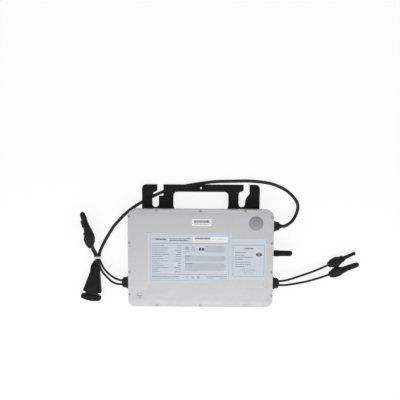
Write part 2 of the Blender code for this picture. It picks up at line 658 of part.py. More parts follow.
def inner_parts():
    """The circuit board on its bosses and the larger parts on it."""
    keep(blocks("main_board", [((-153, -98, 20.0), (153, 98, 21.6))]), "circuit_board")
    keep(blocks("ac_terminal_block", [((140, 63, 21.9), (155.9, 84, 32))]), "green_plastic")
    keep(blocks("dc_right_terminal_block", [((140, -71, 21.9), (155.9, -50, 32))]), "green_plastic")
    keep(blocks("dc_left_terminal_block", [((-155.9, -71, 21.9), (-140, -50, 32))]), "green_plastic")
    keep(blocks("transformer_1", [((-82, -62, 21.9), (-42, -22, 35.5))]), "ferrite")
    keep(blocks("transformer_2", [((-30, -62, 21.9), (10, -22, 35.5))]), "ferrite")
    keep(blocks("capacitor_1", rods=[(-112, -50, 8.0, 21.9, 35.5, 16)]), "capacitor_sleeve")
    keep(blocks("capacitor_2", rods=[(-112, -28, 8.0, 21.9, 35.5, 16)]), "capacitor_sleeve")
    choke = turned("choke", [(18, 34), (18, 21.9), (8, 21.9), (8, 34)], 20, ring=True)
    choke.location = (-60 * MM, 40 * MM, 0.0)
    keep(choke, "copper")


clear_scene()
parts = new_collection("microinverter")
cutters = new_collection("cutters")
housing()
cover()
cover_screws()
bracket()
glands()
antenna()
ac_plug()
cable_tie()
leads()
labels()
inner_parts()
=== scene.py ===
"""Looks of the microinverter: camera, light, leads, detailed pieces and procedural materials.

Lengths are written in millimetres; MM turns them into metres.
"""

import math
import random

import bmesh
import bpy
from mathutils import Euler, Matrix, Vector


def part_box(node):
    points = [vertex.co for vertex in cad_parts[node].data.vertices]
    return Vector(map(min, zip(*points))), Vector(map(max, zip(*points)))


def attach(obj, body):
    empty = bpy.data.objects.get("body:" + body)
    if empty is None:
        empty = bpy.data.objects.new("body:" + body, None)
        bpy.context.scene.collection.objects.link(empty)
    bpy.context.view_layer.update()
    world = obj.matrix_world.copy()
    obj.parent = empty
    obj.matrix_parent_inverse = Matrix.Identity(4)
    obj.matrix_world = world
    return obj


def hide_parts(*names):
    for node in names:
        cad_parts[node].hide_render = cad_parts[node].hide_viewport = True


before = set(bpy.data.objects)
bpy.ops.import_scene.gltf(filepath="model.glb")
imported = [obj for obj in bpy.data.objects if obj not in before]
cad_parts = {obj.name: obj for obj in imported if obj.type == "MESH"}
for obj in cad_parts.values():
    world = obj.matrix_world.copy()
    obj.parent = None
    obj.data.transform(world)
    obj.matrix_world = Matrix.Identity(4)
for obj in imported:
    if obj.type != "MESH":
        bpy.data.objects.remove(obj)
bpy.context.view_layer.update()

MM = 0.001

# Camera: it looks down at the cover, a little from the bracket's side.
AIM = (-2.08, 134.48, 42.0)
CAMERA_DISTANCE = 1050.0
CAMERA_TILT = 5.893
CAMERA_ROLL = 0.3345
LENS = 42.08
SENSOR = 36.0

# Light: the white room, the soft light (its place and size are in metres) and the floor with its own glow.
ROOM_STRENGTH = 0.62
KEY_PLACE = (0.0, -0.62, 0.95)
KEY_SIZE = (2.0, 0.5)
KEY_WATTS = 5.3
FLOOR_HALF = 4.0
FLOOR_GLOW = 0.82

# Leads: the same routes as the CAD model's, from the housing outwards.
AC_DIAMETER = 7.7
DC_DIAMETER = 5.0
DC_LEAD_OFFSET = 4.7
LEAD_STEP = 2.4
CORE_RELIEF = 0.16
CORE_TWIST = 55.0
AC_ROUTE = (
    (156.2, 73.3, 24.5), (176.0, 73.3, 24.5), (189.5, 73.3, 24.5), (194.0, 74.3, 24.1), (199.4, 76.8, 22.8),
    (207.8, 81.8, 18.8), (215.5, 89.5, 13.5), (221.8, 100.1, 8.4), (225.7, 111.6, 4.9), (226.0, 118.8, 4.1),
    (223.5, 127.2, 3.87), (218.2, 135.1, 3.87), (208.5, 145.5, 3.87), (194.9, 156.0, 3.87),
    (175.5, 165.2, 3.87), (156.1, 170.8, 3.87), (119.8, 175.1, 3.87), (71.8, 174.8, 3.87),
    (25.0, 172.8, 3.87), (-26.9, 165.1, 3.87), (-58.0, 158.4, 3.87), (-88.2, 149.5, 3.87),
    (-137.2, 125.3, 3.87), (-172.1, 100.8, 3.87), (-198.7, 73.3, 3.87), (-210.9, 56.3, 3.87),
    (-223.3, 35.5, 3.87), (-231.9, 18.5, 3.87), (-236.1, 8.7, 4.8), (-239.1, -2.8, 6.0), (-240.8, -8.3, 6.7),
    (-242.0, -12.0, 7.2),
)
DC_RIGHT_UPPER_ROUTE = (
    (156.2, -55.8, 24.5), (166.0, -55.8, 24.5), (176.0, -55.8, 24.5), (185.0, -55.8, 24.5),
    (192.5, -55.0, 24.2), (198.5, -54.1, 23.6), (205.0, -52.8, 22.7), (213.0, -50.9, 21.2),
    (221.5, -48.6, 19.3), (229.5, -46.4, 17.4), (239.0, -43.7, 15.4), (249.0, -40.9, 13.6),
    (258.4, -38.0, 12.0), (268.0, -34.6, 10.7), (277.0, -31.1, 9.7), (285.6, -27.4, 9.0), (298.4, -21.5, 8.6),
)
DC_RIGHT_LOWER_ROUTE = (
    (156.2, -65.2, 24.5), (166.0, -65.2, 24.5), (176.0, -65.2, 24.5), (185.0, -65.3, 24.5),
    (192.5, -65.4, 24.2), (200.5, -65.1, 23.2), (209.5, -64.3, 21.7), (220.0, -63.3, 19.4),
    (231.0, -62.0, 17.1), (242.0, -60.6, 14.9), (253.0, -58.5, 12.9), (264.5, -55.8, 11.2),
    (275.9, -52.9, 9.8), (285.0, -50.1, 9.0), (294.0, -47.0, 8.7), (302.1, -44.1, 8.6),
)
DC_LEFT_UPPER_ROUTE = (
    (-156.2, -55.8, 24.5), (-176.0, -55.8, 24.5), (-185.0, -55.8, 24.5), (-191.5, -54.3, 24.1),
    (-197.8, -51.9, 23.3), (-206.2, -47.5, 21.8), (-215.4, -40.4, 19.9), (-225.5, -29.4, 17.9),
    (-231.4, -18.9, 15.8), (-235.8, -9.9, 13.9), (-238.9, -3.6, 13.3), (-242.5, 4.6, 15.0),
    (-245.6, 12.6, 18.6), (-247.8, 20.2, 23.2), (-249.1, 25.0, 25.2), (-249.8, 28.0, 25.5),
)
DC_LEFT_LOWER_ROUTE = (
    (-156.2, -65.2, 24.5), (-176.0, -65.2, 24.5), (-185.0, -65.4, 24.5), (-191.2, -65.1, 24.1),
    (-199.0, -63.4, 22.8), (-208.1, -58.8, 21.2), (-217.6, -50.4, 19.4), (-227.2, -39.8, 17.8),
    (-233.4, -29.4, 17.0), (-239.0, -17.8, 15.6), (-243.2, -8.2, 13.9), (-246.8, -0.5, 11.6),
    (-250.1, 6.2, 9.8), (-253.1, 11.2, 8.9), (-255.9, 15.3, 8.6),
)

# Housing and cover.
BODY_CORNER = 16.5
HOUSING_INSET = 0.7
WALL = 7.5
FIN_HEIGHT = 12.6
FLOOR_TOP = 15.6
FIN_THICKNESS = 3.0
FIN_TIP = 2.2
FIN_PITCH = 11.0
FINS_EACH_SIDE = 13
FIRST_FIN_X = 17.0
FIN_LOW_Y = -108.0
FIN_HIGH_Y = 80.0
CENTRE_RIB = 16.0
SCREW_RADIUS = 2.75
COVER_SCREWS = [f"cover_screw_{number:02d}" for number in range(1, 15)]

# Bracket.
BRACKET_CORNER = 10.0
HANDLE_HALF_WIDTH = 63.3
HANDLE_LOW_Y = 103.7
HANDLE_HIGH_Y = 150.2
HANDLE_LOW_CORNER = 16.0
HANDLE_HIGH_CORNER = 9.0
HANG_HOLE = (0.0, 159.0)
HANG_HOLE_RADIUS = 2.1
BRACKET_SCREWS = [f"bracket_screw_{number}" for number in range(1, 5)]
BRACKET_SCREW_HOLE = 2.8

# Glands: the part of the body outside the housing, and the room around each lead in the rubber.
BODY_LENGTH = 13.8
BORE_GAP = 0.3

# Noses of the rubber inserts, as (radius, height): ringed and tapered on the mains lead, flat on the others.
AC_NOSE = (
    (5.75, 15.7), (5.6, 16.2), (5.4, 17.0), (5.1, 17.2), (5.1, 17.5), (5.2, 17.7), (5.05, 18.4), (4.8, 18.6),
    (4.8, 18.9), (4.9, 19.1), (4.7, 20.2), (4.4, 20.5),
)
DC_NOSE = ((7.95, 15.8), (7.9, 16.5), (7.5, 16.9))

# Gland radii: the body's flange, neck, threaded stub and bore, the nut's flats and lip, the insert's seal.
AC_GLAND = (13.0, 10.4, 7.4, 8.0, 9.0, 6.2, 5.8)
DC_GLAND = (14.4, 12.4, 9.6, 9.5, 11.0, 8.4, 8.0)

# Plugs and tie: where they lie.
AC_PLUG_PLACE = (-243.9, -12.7)
AC_PLUG_TURN = -9.0
AC_NECK_Z = 7.3
LOW_PLUG_HEIGHT = 8.6
HIGH_PLUG_HEIGHT = 25.5
TIE_PLACE = (-241.5, -4.8, 9.2)
TIE_DIRECTION = (0.05, -1.0, 0.0)

# Printed shapes: the height they start at, the height they reach, and the spacing of lines.
PRINT_BASE = 42.2
PRINT_TOP = 42.26
TABLE_ROWS = 13
TABLE_PITCH = 5.04
TEXT_PITCH = 2.15


# ---- camera, light and floor


def in_scene(name, data):
    obj = bpy.data.objects.new(name, data)
    bpy.context.scene.collection.objects.link(obj)
    return obj


def camera():
    data = bpy.data.cameras.new("camera")
    data.lens = LENS
    data.sensor_width = SENSOR
    data.clip_start = 0.05
    data.clip_end = 20.0
    obj = in_scene("camera", data)
    tilt = math.radians(CAMERA_TILT)
    back = Vector((0.0, math.sin(tilt), math.cos(tilt)))
    turn = Euler((-tilt, 0.0, 0.0)).to_matrix().to_4x4() @ Matrix.Rotation(math.radians(CAMERA_ROLL), 4, "Z")
    obj.matrix_world = Matrix.Translation((Vector(AIM) + back * CAMERA_DISTANCE) * MM) @ turn
    bpy.context.scene.camera = obj


def soft_light():
    """A rectangular area light that faces the middle of the floor."""
    data = bpy.data.lights.new("soft_key", "AREA")
    data.shape = "RECTANGLE"
    data.size, data.size_y = KEY_SIZE
    data.energy = KEY_WATTS
    obj = in_scene("soft_key", data)
    obj.location = KEY_PLACE
    obj.rotation_euler = (-Vector(KEY_PLACE)).to_track_quat("-Z", "Y").to_euler()


def studio():
    """A white room, one large soft light beyond the end without the bracket, and a pale floor."""
    world = bpy.data.worlds.new("white_room")
    bpy.context.scene.world = world
    world.use_nodes = True
    background = world.node_tree.nodes["Background"]
    feed(world.node_tree, background, {"Color": (1.0, 1.0, 1.0, 1.0), "Strength": ROOM_STRENGTH})
    bpy.context.scene.view_settings.view_transform = "Standard"
    soft_light()
    mesh = bpy.data.meshes.new("floor")
    half = FLOOR_HALF
    corners = [(-half, -half, 0.0), (half, -half, 0.0), (half, half, 0.0), (-half, half, 0.0)]
    mesh.from_pydata(corners, [], [(0, 1, 2, 3)])
    mesh.materials.append(floor_material())
    obj = in_scene("floor", mesh)
    obj.location.z = -0.05 * MM


# ---- materials


def feed(tree, node, inputs):
    """Links each of a node's inputs to a socket, or sets it to a plain value."""
    for name, value in inputs.items():
        if isinstance(value, bpy.types.NodeSocket):
            tree.links.new(value, node.inputs[name])
        else:
            node.inputs[name].default_value = value


def pattern(tree, kind, inputs, turn=0.0):
    """A texture on object coordinates in metres, so that it keeps its size on every piece."""
    coordinates = tree.nodes.new("ShaderNodeTexCoord")
    mapping = tree.nodes.new("ShaderNodeMapping")
    feed(tree, mapping, {"Vector": coordinates.outputs["Object"], "Rotation": (0.0, 0.0, turn)})
    node = tree.nodes.new("ShaderNodeTex" + kind)
    feed(tree, node, {"Vector": mapping.outputs["Vector"], **inputs})
    return node.outputs


def noise(tree, grain_mm, detail=2.0, roughness=0.5):
    """Noise whose blobs are about grain_mm across."""
    inputs = {"Scale": 1.0 / (grain_mm * MM), "Detail": detail, "Roughness": roughness}
    return pattern(tree, "Noise", inputs)["Fac"]


def spread(tree, value, low, high, start=0.3, end=0.7):
    """Maps a noise value from start..end to low..high."""
    node = tree.nodes.new("ShaderNodeMapRange")
    feed(tree, node, {"Value": value, "From Min": start, "From Max": end, "To Min": low, "To Max": high})
    return node.outputs["Result"]


def blend_colours(tree, share, first, second):
    node = tree.nodes.new("ShaderNodeMix")
    node.data_type = "RGBA"
    first, second = [(*value, 1.0) if isinstance(value, tuple) else value for value in (first, second)]
    feed(tree, node, {0: share, 6: first, 7: second})
    return node.outputs[2]


def relief(tree, height, depth_mm, before=None, strength=1.0):
    """A bump depth_mm high, laid over the one before it."""
    node = tree.nodes.new("ShaderNodeBump")
    feed(tree, node, {"Height": height, "Distance": depth_mm * MM, "Strength": strength})
    if before is not None:
        feed(tree, node, {"Normal": before})
    return node.outputs["Normal"]


def surface(name, metallic=0.0, specular=0.5):
    made = bpy.data.materials.new(name)
    made.use_nodes = True
    shader = made.node_tree.nodes["Principled BSDF"]
    feed(made.node_tree, shader, {"Metallic": metallic, "Specular IOR Level": specular})
    return made, made.node_tree, shader


def floor_material():
    made, tree, shader = surface("floor_white", specular=0.1)
    feed(tree, shader, {
        "Base Color": blend_colours(tree, noise(tree, 400.0), (0.21, 0.21, 0.21), (0.22, 0.22, 0.22)),
        "Roughness": 0.9,
        "Emission Color": (1.0, 1.0, 1.0, 1.0),
        "Emission Strength": FLOOR_GLOW,
    })
    return made


def grained(name, dark, light, rough, grain, depth, specular, tone, metallic=0.0):
    """A surface with slow changes of tone, a fine grain and uneven gloss.

    rough is (lowest, highest) roughness. The grain's size, its depth and the size of the slow changes of tone
    are in millimetres.
    """
    made, tree, shader = surface(name, metallic, specular)
    slow = spread(tree, noise(tree, tone, 3.0), 0.0, 1.0)
    patchy = noise(tree, tone / 4, 3.0)
    first = relief(tree, noise(tree, grain), depth)
    feed(tree, shader, {
        "Base Color": blend_colours(tree, slow, dark, light),
        "Roughness": spread(tree, patchy, rough[0], rough[1]),
        "Normal": relief(tree, patchy, depth * 1.5, first, 0.4),
    })
    return made


def cover_material():
    """Fine bead-blasted aluminium with a clear coat: a faint speckle and very slow clouds."""
    made, tree, shader = surface("cover_aluminium", 0.35, 0.4)
    clouds = spread(tree, noise(tree, 45.0, 3.0), 0.0, 1.0)
    base = blend_colours(tree, clouds, (0.575, 0.58, 0.59), (0.6, 0.605, 0.61))
    speckle = spread(tree, noise(tree, 0.9, 3.0, 0.7), 0.0, 1.0, 0.36, 0.64)
    blasted = relief(tree, noise(tree, 0.45), 0.02)
    feed(tree, shader, {
        "Base Color": blend_colours(tree, speckle, base, (0.652, 0.658, 0.665)),
        "Roughness": spread(tree, noise(tree, 12.0, 4.0), 0.4, 0.5),
        "Normal": relief(tree, noise(tree, 60.0, 1.0), 0.12, blasted, 0.5),
    })
    return made


def cast_material():
    """Die-cast aluminium under thin silver paint: pitted skin and slightly uneven tone."""
    made, tree, shader = surface("cast_aluminium", 0.45, 0.4)
    tone = spread(tree, noise(tree, 25.0, 4.0), 0.0, 1.0)
    skin = relief(tree, noise(tree, 0.8, 4.0), 0.07)
    cells = pattern(tree, "Voronoi", {"Scale": 1.0 / (1.7 * MM)})["Distance"]
    feed(tree, shader, {
        "Base Color": blend_colours(tree, tone, (0.52, 0.525, 0.53), (0.6, 0.6, 0.605)),
        "Roughness": spread(tree, noise(tree, 6.0, 3.0), 0.45, 0.62),
        "Normal": relief(tree, spread(tree, cells, 0.0, 1.0, 0.05, 0.35), 0.04, skin, 0.5),
    })
    return made


def powder_coat_material():
    """Matt black powder coat: orange peel, fine sparkle grain and slightly rubbed patches."""
    made, tree, shader = surface("black_steel", 0.0, 0.12)
    rubbed = spread(tree, noise(tree, 9.0, 5.0), 0.0, 1.0, 0.5, 0.8)
    peel = relief(tree, noise(tree, 1.2, 1.0), 0.06)
    feed(tree, shader, {
        "Base Color": blend_colours(tree, rubbed, (0.009, 0.009, 0.0095), (0.018, 0.018, 0.018)),
        "Roughness": spread(tree, noise(tree, 4.0, 3.0), 0.42, 0.6),
        "Normal": relief(tree, noise(tree, 0.3), 0.02, peel),
    })
    return made


def foil_material():
    """Grey security foil: a fine cross-hatched emboss that changes the gloss in small squares."""
    made, tree, shader = surface("grey_foil", 0.3, 0.4)
    weave = pattern(tree, "Checker", {"Scale": 1.0 / (1.1 * MM)}, math.radians(45))["Fac"]
    slow = spread(tree, noise(tree, 8.0, 3.0), 0.0, 1.0)
    base = blend_colours(tree, slow, (0.285, 0.31, 0.34), (0.33, 0.35, 0.375))
    feed(tree, shader, {
        "Base Color": blend_colours(tree, weave, base, (0.35, 0.37, 0.39)),
        "Roughness": spread(tree, weave, 0.35, 0.5, 0.0, 1.0),
        "Normal": relief(tree, weave, 0.01),
    })
    return made


def board_material():
    """Green solder mask over faint copper tracks."""
    made, tree, shader = surface("circuit_board", 0.0, 0.5)
    tracks = pattern(tree, "Brick", {
        "Scale": 60.0, "Color1": (0.015, 0.1, 0.04, 1.0), "Color2": (0.02, 0.13, 0.05, 1.0),
        "Mortar": (0.04, 0.2, 0.08, 1.0),
    })
    feed(tree, shader, {
        "Base Color": tracks["Color"],
        "Roughness": spread(tree, noise(tree, 3.0), 0.25, 0.4),
        "Normal": relief(tree, tracks["Fac"], 0.03),
    })
    return made


# Each: dark and light tone, roughness, grain, depth, specular, tone's size and how metallic it is.
GRAINED = {
    "steel": ((0.36, 0.35, 0.33), (0.5, 0.49, 0.46), (0.25, 0.42), 0.25, 0.02, 0.5, 3.0, 1.0),
    "black_nylon": ((0.012, 0.0122, 0.013), (0.02, 0.0202, 0.021), (0.36, 0.5), 0.35, 0.03, 0.15, 10.0),
    "black_rubber": ((0.013, 0.013, 0.013), (0.022, 0.022, 0.022), (0.55, 0.75), 0.5, 0.05, 0.09, 9.0),
    "gasket_rubber": ((0.02, 0.02, 0.02), (0.035, 0.035, 0.035), (0.7, 0.85), 0.4, 0.04, 0.3, 14.0),
    "lead_jacket": ((0.017, 0.0165, 0.0155), (0.03, 0.029, 0.027), (0.4, 0.56), 0.6, 0.05, 0.22, 16.0),
    "plug_plastic": ((0.009, 0.0093, 0.0105), (0.016, 0.0163, 0.018), (0.34, 0.48), 0.3, 0.035, 0.18, 12.0),
    # plug_plastic_painted_shade: painted shade, a darker copy of plug_plastic in the same slot, used for the
    # mains plug's body and cap.
    "plug_plastic_painted_shade": ((0.006, 0.0062, 0.0072), (0.011, 0.0112, 0.0125), (0.33, 0.45), 0.3, 0.035, 0.14, 12.0),
    "white_nylon": ((0.8, 0.81, 0.84), (0.86, 0.87, 0.89), (0.3, 0.42), 0.5, 0.03, 0.5, 6.0),
    "blue_film": ((0.65, 0.715, 0.8), (0.675, 0.74, 0.82), (0.36, 0.46), 0.35, 0.008, 0.4, 40.0),
    "white_film": ((0.96, 0.96, 0.97), (0.98, 0.98, 0.985), (0.36, 0.48), 0.35, 0.008, 0.4, 15.0),
    "dark_ink": ((0.05, 0.052, 0.056), (0.075, 0.078, 0.082), (0.45, 0.55), 0.2, 0.005, 0.3, 3.0),
    "grey_ink": ((0.2, 0.21, 0.22), (0.26, 0.27, 0.285), (0.45, 0.55), 0.2, 0.005, 0.3, 3.0),
    "pale_ink": ((0.36, 0.37, 0.39), (0.42, 0.43, 0.45), (0.45, 0.55), 0.2, 0.005, 0.3, 3.0),
    "brass": ((0.6, 0.44, 0.2), (0.74, 0.56, 0.28), (0.25, 0.4), 0.25, 0.02, 0.5, 3.0, 1.0),
    "green_plastic": ((0.03, 0.2, 0.07), (0.05, 0.26, 0.1), (0.35, 0.5), 0.4, 0.03, 0.5, 30.0),
    "ferrite": ((0.06, 0.06, 0.065), (0.1, 0.1, 0.105), (0.5, 0.7), 0.5, 0.06, 0.5, 5.0),
    "capacitor_sleeve": ((0.03, 0.04, 0.1), (0.05, 0.06, 0.14), (0.2, 0.35), 0.6, 0.02, 0.5, 8.0),
    "copper": ((0.55, 0.24, 0.1), (0.75, 0.38, 0.18), (0.25, 0.4), 1.2, 0.2, 0.5, 4.0, 1.0),
}


def make_materials():
    """Every finish, by name."""
    looks = {
        "cover_aluminium": cover_material(), "cast_aluminium": cast_material(), "grey_foil": foil_material(),
        "black_steel": powder_coat_material(), "circuit_board": board_material(),
    }
    for name, values in GRAINED.items():
        looks[name] = grained(name, *values)
    return looks


# ---- mesh tools


def spline(a, b, c, d, t):
    """Catmull-Rom between b and c."""
    return 0.5 * (2 * b + (c - a) * t + (2 * a - 5 * b + 4 * c - d) * t * t + (3 * b - a - 3 * c + d) * t**3)


def smooth_rows(keys, steps=4):
    """Rows of numbers on a smooth curve through the key rows."""
    padded = [keys[0], *keys, keys[-1]]
    rows = []
    for a, b, c, d in zip(padded, padded[1:], padded[2:], padded[3:]):
        for step in range(steps):
            rows.append([spline(*values, step / steps) for values in zip(a, b, c, d)])
    rows.append(list(keys[-1]))
    return rows


def smooth_route(route, spacing):
    """Evenly spaced points on a smooth curve through the route's points, as the CAD model has them."""
    knots = [Vector(point) for point in route]
    knots = [2 * knots[0] - knots[1]] + knots + [2 * knots[-1] - knots[-2]]
    fine = [knots[1]]
    for a, b, c, d in zip(knots, knots[1:], knots[2:], knots[3:]):
        for step in range(1, 13):
            fine.append(spline(a, b, c, d, step / 12))
    lengths = [0.0]
    for a, b in zip(fine, fine[1:]):
        lengths.append(lengths[-1] + (b - a).length)
    count = round(lengths[-1] / spacing)
    points = []
    index = 0
    for step in range(count + 1):
        wanted = lengths[-1] * step / count
        while index < len(lengths) - 2 and lengths[index + 1] < wanted:
            index += 1
        share = (wanted - lengths[index]) / (lengths[index + 1] - lengths[index])
        points.append(fine[index].lerp(fine[index + 1], share))
    return points


def facing(place, direction):
    """Local Z along direction, local Y upwards and local X sideways, at a place in millimetres."""
    forward = Vector(direction).normalized()
    side = Vector((0, 0, 1)).cross(forward).normalized()
    turn = Matrix((side, forward.cross(side), forward)).transposed().to_4x4()
    return Matrix.Translation(Vector(place) * MM) @ turn


def finish_mesh(work, mesh, crease):
    """Writes the work to a mesh, smooth except where faces meet at more than the crease angle."""
    bmesh.ops.recalc_face_normals(work, faces=work.faces)
    work.to_mesh(mesh)
    work.free()
    mesh.shade_smooth()
    mesh.set_sharp_from_angle(angle=math.radians(crease))


def loft(name, rings, closed=False, crease=32):
    """Skins rings of points in millimetres; the ends are capped, or joined to each other if closed."""
    work = bmesh.new()
    rows = [[work.verts.new(Vector(point) * MM) for point in ring] for ring in rings]
    pairs = list(zip(rows, rows[1:]))
    if closed:
        pairs.append((rows[-1], rows[0]))
    for near, far in pairs:
        count = len(near)
        for i in range(count):
            work.faces.new((near[i], near[(i + 1) % count], far[(i + 1) % count], far[i]))
    if not closed:
        work.faces.new(rows[0])
        work.faces.new(rows[-1])
    mesh = bpy.data.meshes.new(name)
    finish_mesh(work, mesh, crease)
    return mesh


def spin(name, rows, sides=48, closed=False, crease=32, shape=None, half_height=math.inf):
    """Rows of (radius, height, ...) about local Z.

    shape(angle, row) may change a row's radius, and half_height leaves flats above and below.
    """
    rings = []
    for row in rows:
        ring = []
        for number in range(sides):
            angle = 2 * math.pi * number / sides
            radius = shape(angle, row) if shape else row[0]
            y = max(-half_height, min(half_height, radius * math.sin(angle)))
            ring.append((radius * math.cos(angle), y, row[1]))
        rings.append(ring)
    return loft(name, rings, closed, crease)


def oval(row, sides=40):
    """One cross-section: (height along the axis, width to +X, width to -X, half height, squareness)."""
    along, plus, minus, half_height, square = row
    ring = []
    for number in range(sides):
        angle = 2 * math.pi * number / sides
        c, s = math.cos(angle), math.sin(angle)
        x = math.copysign(abs(c) ** (2 / square), c) * (plus if c > 0 else minus)
        y = math.copysign(abs(s) ** (2 / square), s) * half_height
        ring.append((x, y, along))
    return ring


def arc(centre, radius, start, end, steps=8):
    points = []
    for step in range(steps + 1):
        angle = math.radians(start + (end - start) * step / steps)
        points.append((centre[0] + radius * math.cos(angle), centre[1] + radius * math.sin(angle)))
    return points


def circle(centre, radius, sides=32):
    return arc(centre, radius, 0, 360 * (sides - 1) / sides, sides - 1)


def rounded_rectangle(low, high, radius, steps=8):
    middle = ((low[0] + high[0]) / 2, (low[1] + high[1]) / 2)
    corners = ((high[0], high[1], 0), (low[0], high[1], 90), (low[0], low[1], 180), (high[0], low[1], 270))
    points = []
    for x, y, start in corners:
        centre = (x - math.copysign(radius, x - middle[0]), y - math.copysign(radius, y - middle[1]))
        points += arc(centre, radius, start, start + 90, steps)
    return points


def evaluated(obj, *helpers):
    """An object's mesh with its modifiers applied; the object and its helpers leave the scene."""
    bpy.context.view_layer.update()
    graph = bpy.context.evaluated_depsgraph_get()
    mesh = bpy.data.meshes.new_from_object(obj.evaluated_get(graph))
    for used in (obj, *helpers):
        bpy.data.objects.remove(used, do_unlink=True)
    mesh.materials.clear()
    return mesh


def slab(name, outline, low, high, edge=0.0, holes=()):
    """A flat outline with holes, from low to high, its edges rounded by edge."""
    curve = bpy.data.curves.new(name, "CURVE")
    curve.dimensions = "2D"
    curve.fill_mode = "BOTH"
    curve.extrude = ((high - low) / 2 - edge) * MM
    curve.bevel_depth = edge * MM
    curve.bevel_resolution = 1
    curve.offset = -edge * MM
    for points in [outline] + [hole[::-1] for hole in holes]:
        line = curve.splines.new("POLY")
        line.points.add(len(points) - 1)
        for point, (x, y) in zip(line.points, points):
            point.co = (x * MM, y * MM, 0.0, 1.0)
        line.use_cyclic_u = True
    mesh = evaluated(in_scene(name, curve))
    work = bmesh.new()
    work.from_mesh(mesh)
    bmesh.ops.remove_doubles(work, verts=work.verts, dist=1e-7)
    bmesh.ops.translate(work, verts=work.verts, vec=(0.0, 0.0, (low + high) / 2 * MM))
    finish_mesh(work, mesh, 32)
    return mesh


def box(name, low, high, edge=0.0, segments=2):
    """A box from corner to corner in millimetres, its edges rounded."""
    work = bmesh.new()
    size = [(b - a) * MM for a, b in zip(low, high)]
    centre = [(a + b) / 2 * MM for a, b in zip(low, high)]
    bmesh.ops.create_cube(work, size=1.0, matrix=Matrix.LocRotScale(centre, None, size))
    if edge:
        bmesh.ops.bevel(
            work, geom=work.edges[:], offset=edge * MM, segments=segments, affect="EDGES", profile=0.5,
        )
    mesh = bpy.data.meshes.new(name)
    finish_mesh(work, mesh, 40)
    return mesh


def joined(name, meshes):
    """Several meshes in one, as they are."""
    work = bmesh.new()
    for mesh in meshes:
        work.from_mesh(mesh)
    mesh = bpy.data.meshes.new(name)
    finish_mesh(work, mesh, 32)
    return mesh


def combined(name, target, tools, operation="DIFFERENCE", crease=32):
    """The target mesh with every tool mesh cut from it, or joined on to it."""
    obj = in_scene(name, target)
    cutters = [in_scene(name + "_tool", tool) for tool in tools]
    for cutter in cutters:
        step = obj.modifiers.new("cut", "BOOLEAN")
        step.solver = "EXACT"
        step.operation = operation
        step.object = cutter
    mesh = evaluated(obj, *cutters)
    mesh.shade_smooth()
    mesh.set_sharp_from_angle(angle=math.radians(crease))
    return mesh


def moved(mesh, matrix):
    mesh.transform(matrix)
    return mesh


def shift(x, y, z=0.0):
    return Matrix.Translation((x * MM, y * MM, z * MM))


def piece(name, mesh, look, body, *stands_for, slot=None):
    """Puts a finished mesh in the scene, riding on a CAD body and standing for CAD nodes."""
    obj = in_scene(name, mesh)
    mesh.materials.clear()
    mesh.materials.append(LOOKS[look])
    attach(obj, body)
    if stands_for:
        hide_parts(*stands_for)
    return obj


def box_of(node):
    low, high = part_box(node)
    return low / MM, high / MM


def centre_of(node):
    low, high = box_of(node)
    return (low + high) / 2


def at(mesh, node, z=0.0):
    """The mesh moved sideways to a CAD node's middle, and up by z."""
    place = centre_of(node)
    return moved(mesh, shift(place.x, place.y, z))


# ---- leads


def lead_mesh(name, route, diameter, sides, twist=0.0):
    """A round jacket along a smooth route; twist is the relief of the cores that show through it."""
    points = smooth_route(route, LEAD_STEP)
    for point in points:
        point.z = max(point.z, diameter / 2 + 0.02)
    rings = []
    side = Vector((0, 0, 1))
    travelled = 0.0
    for index, point in enumerate(points):
        ahead = points[min(index + 1, len(points) - 1)]
        behind = points[max(index - 1, 0)]
        forward = (ahead - behind).normalized()
        side = (side - side.dot(forward) * forward).normalized()
        other = forward.cross(side)
        travelled += (point - behind).length
        ring = []
        for number in range(sides):
            angle = 2 * math.pi * number / sides
            wave = math.cos(3 * angle - 2 * math.pi * travelled / CORE_TWIST)
            radius = diameter / 2 - twist * (0.5 - 0.5 * wave)
            ring.append(point + side * (radius * math.cos(angle)) + other * (radius * math.sin(angle)))
        rings.append(ring)
    return loft(name, rings, crease=60), [tuple(point * MM) for point in points]


def lead(name, route, diameter, sides, twist=0.0):
    """One free lead: its jacket, put in the scene on the unit."""
    mesh, path = lead_mesh(name, route, diameter, sides, twist)
    obj = piece(name + "_jacket", mesh, "lead_jacket", "unit", name)


# ---- housing and cover


def body_outline(inset, steps=10):
    low, high = box_of("cover_plate")
    return rounded_rectangle(
        (low.x + inset, low.y + inset), (high.x - inset, high.y - inset), BODY_CORNER - inset, steps,
    )


def fin(x, thickness, low_y, high_y):
    """One cooling fin: thicker at its root, with a rounded tip and sloping ends."""
    root, tip = thickness / 2, thickness / 2 - (FIN_THICKNESS - FIN_TIP) / 2
    corners = [(-root, FIN_HEIGHT + 0.6), (-root, FIN_HEIGHT - 1.0), (-tip, 0.9), (-tip + 0.25, 0.3),
               (-tip + 0.8, 0.0), (tip - 0.8, 0.0), (tip - 0.25, 0.3), (tip, 0.9), (root, FIN_HEIGHT - 1.0),
               (root, FIN_HEIGHT + 0.6)]
    rings = []
    for y, lift in ((low_y, 2.4), (low_y + 0.8, 0.8), (low_y + 2.6, 0.0), (high_y - 2.6, 0.0),
                    (high_y - 0.8, 0.8), (high_y, 2.4)):
        rings.append([(x + dx, y, max(z, lift)) for dx, z in corners])
    return loft("fin", rings)


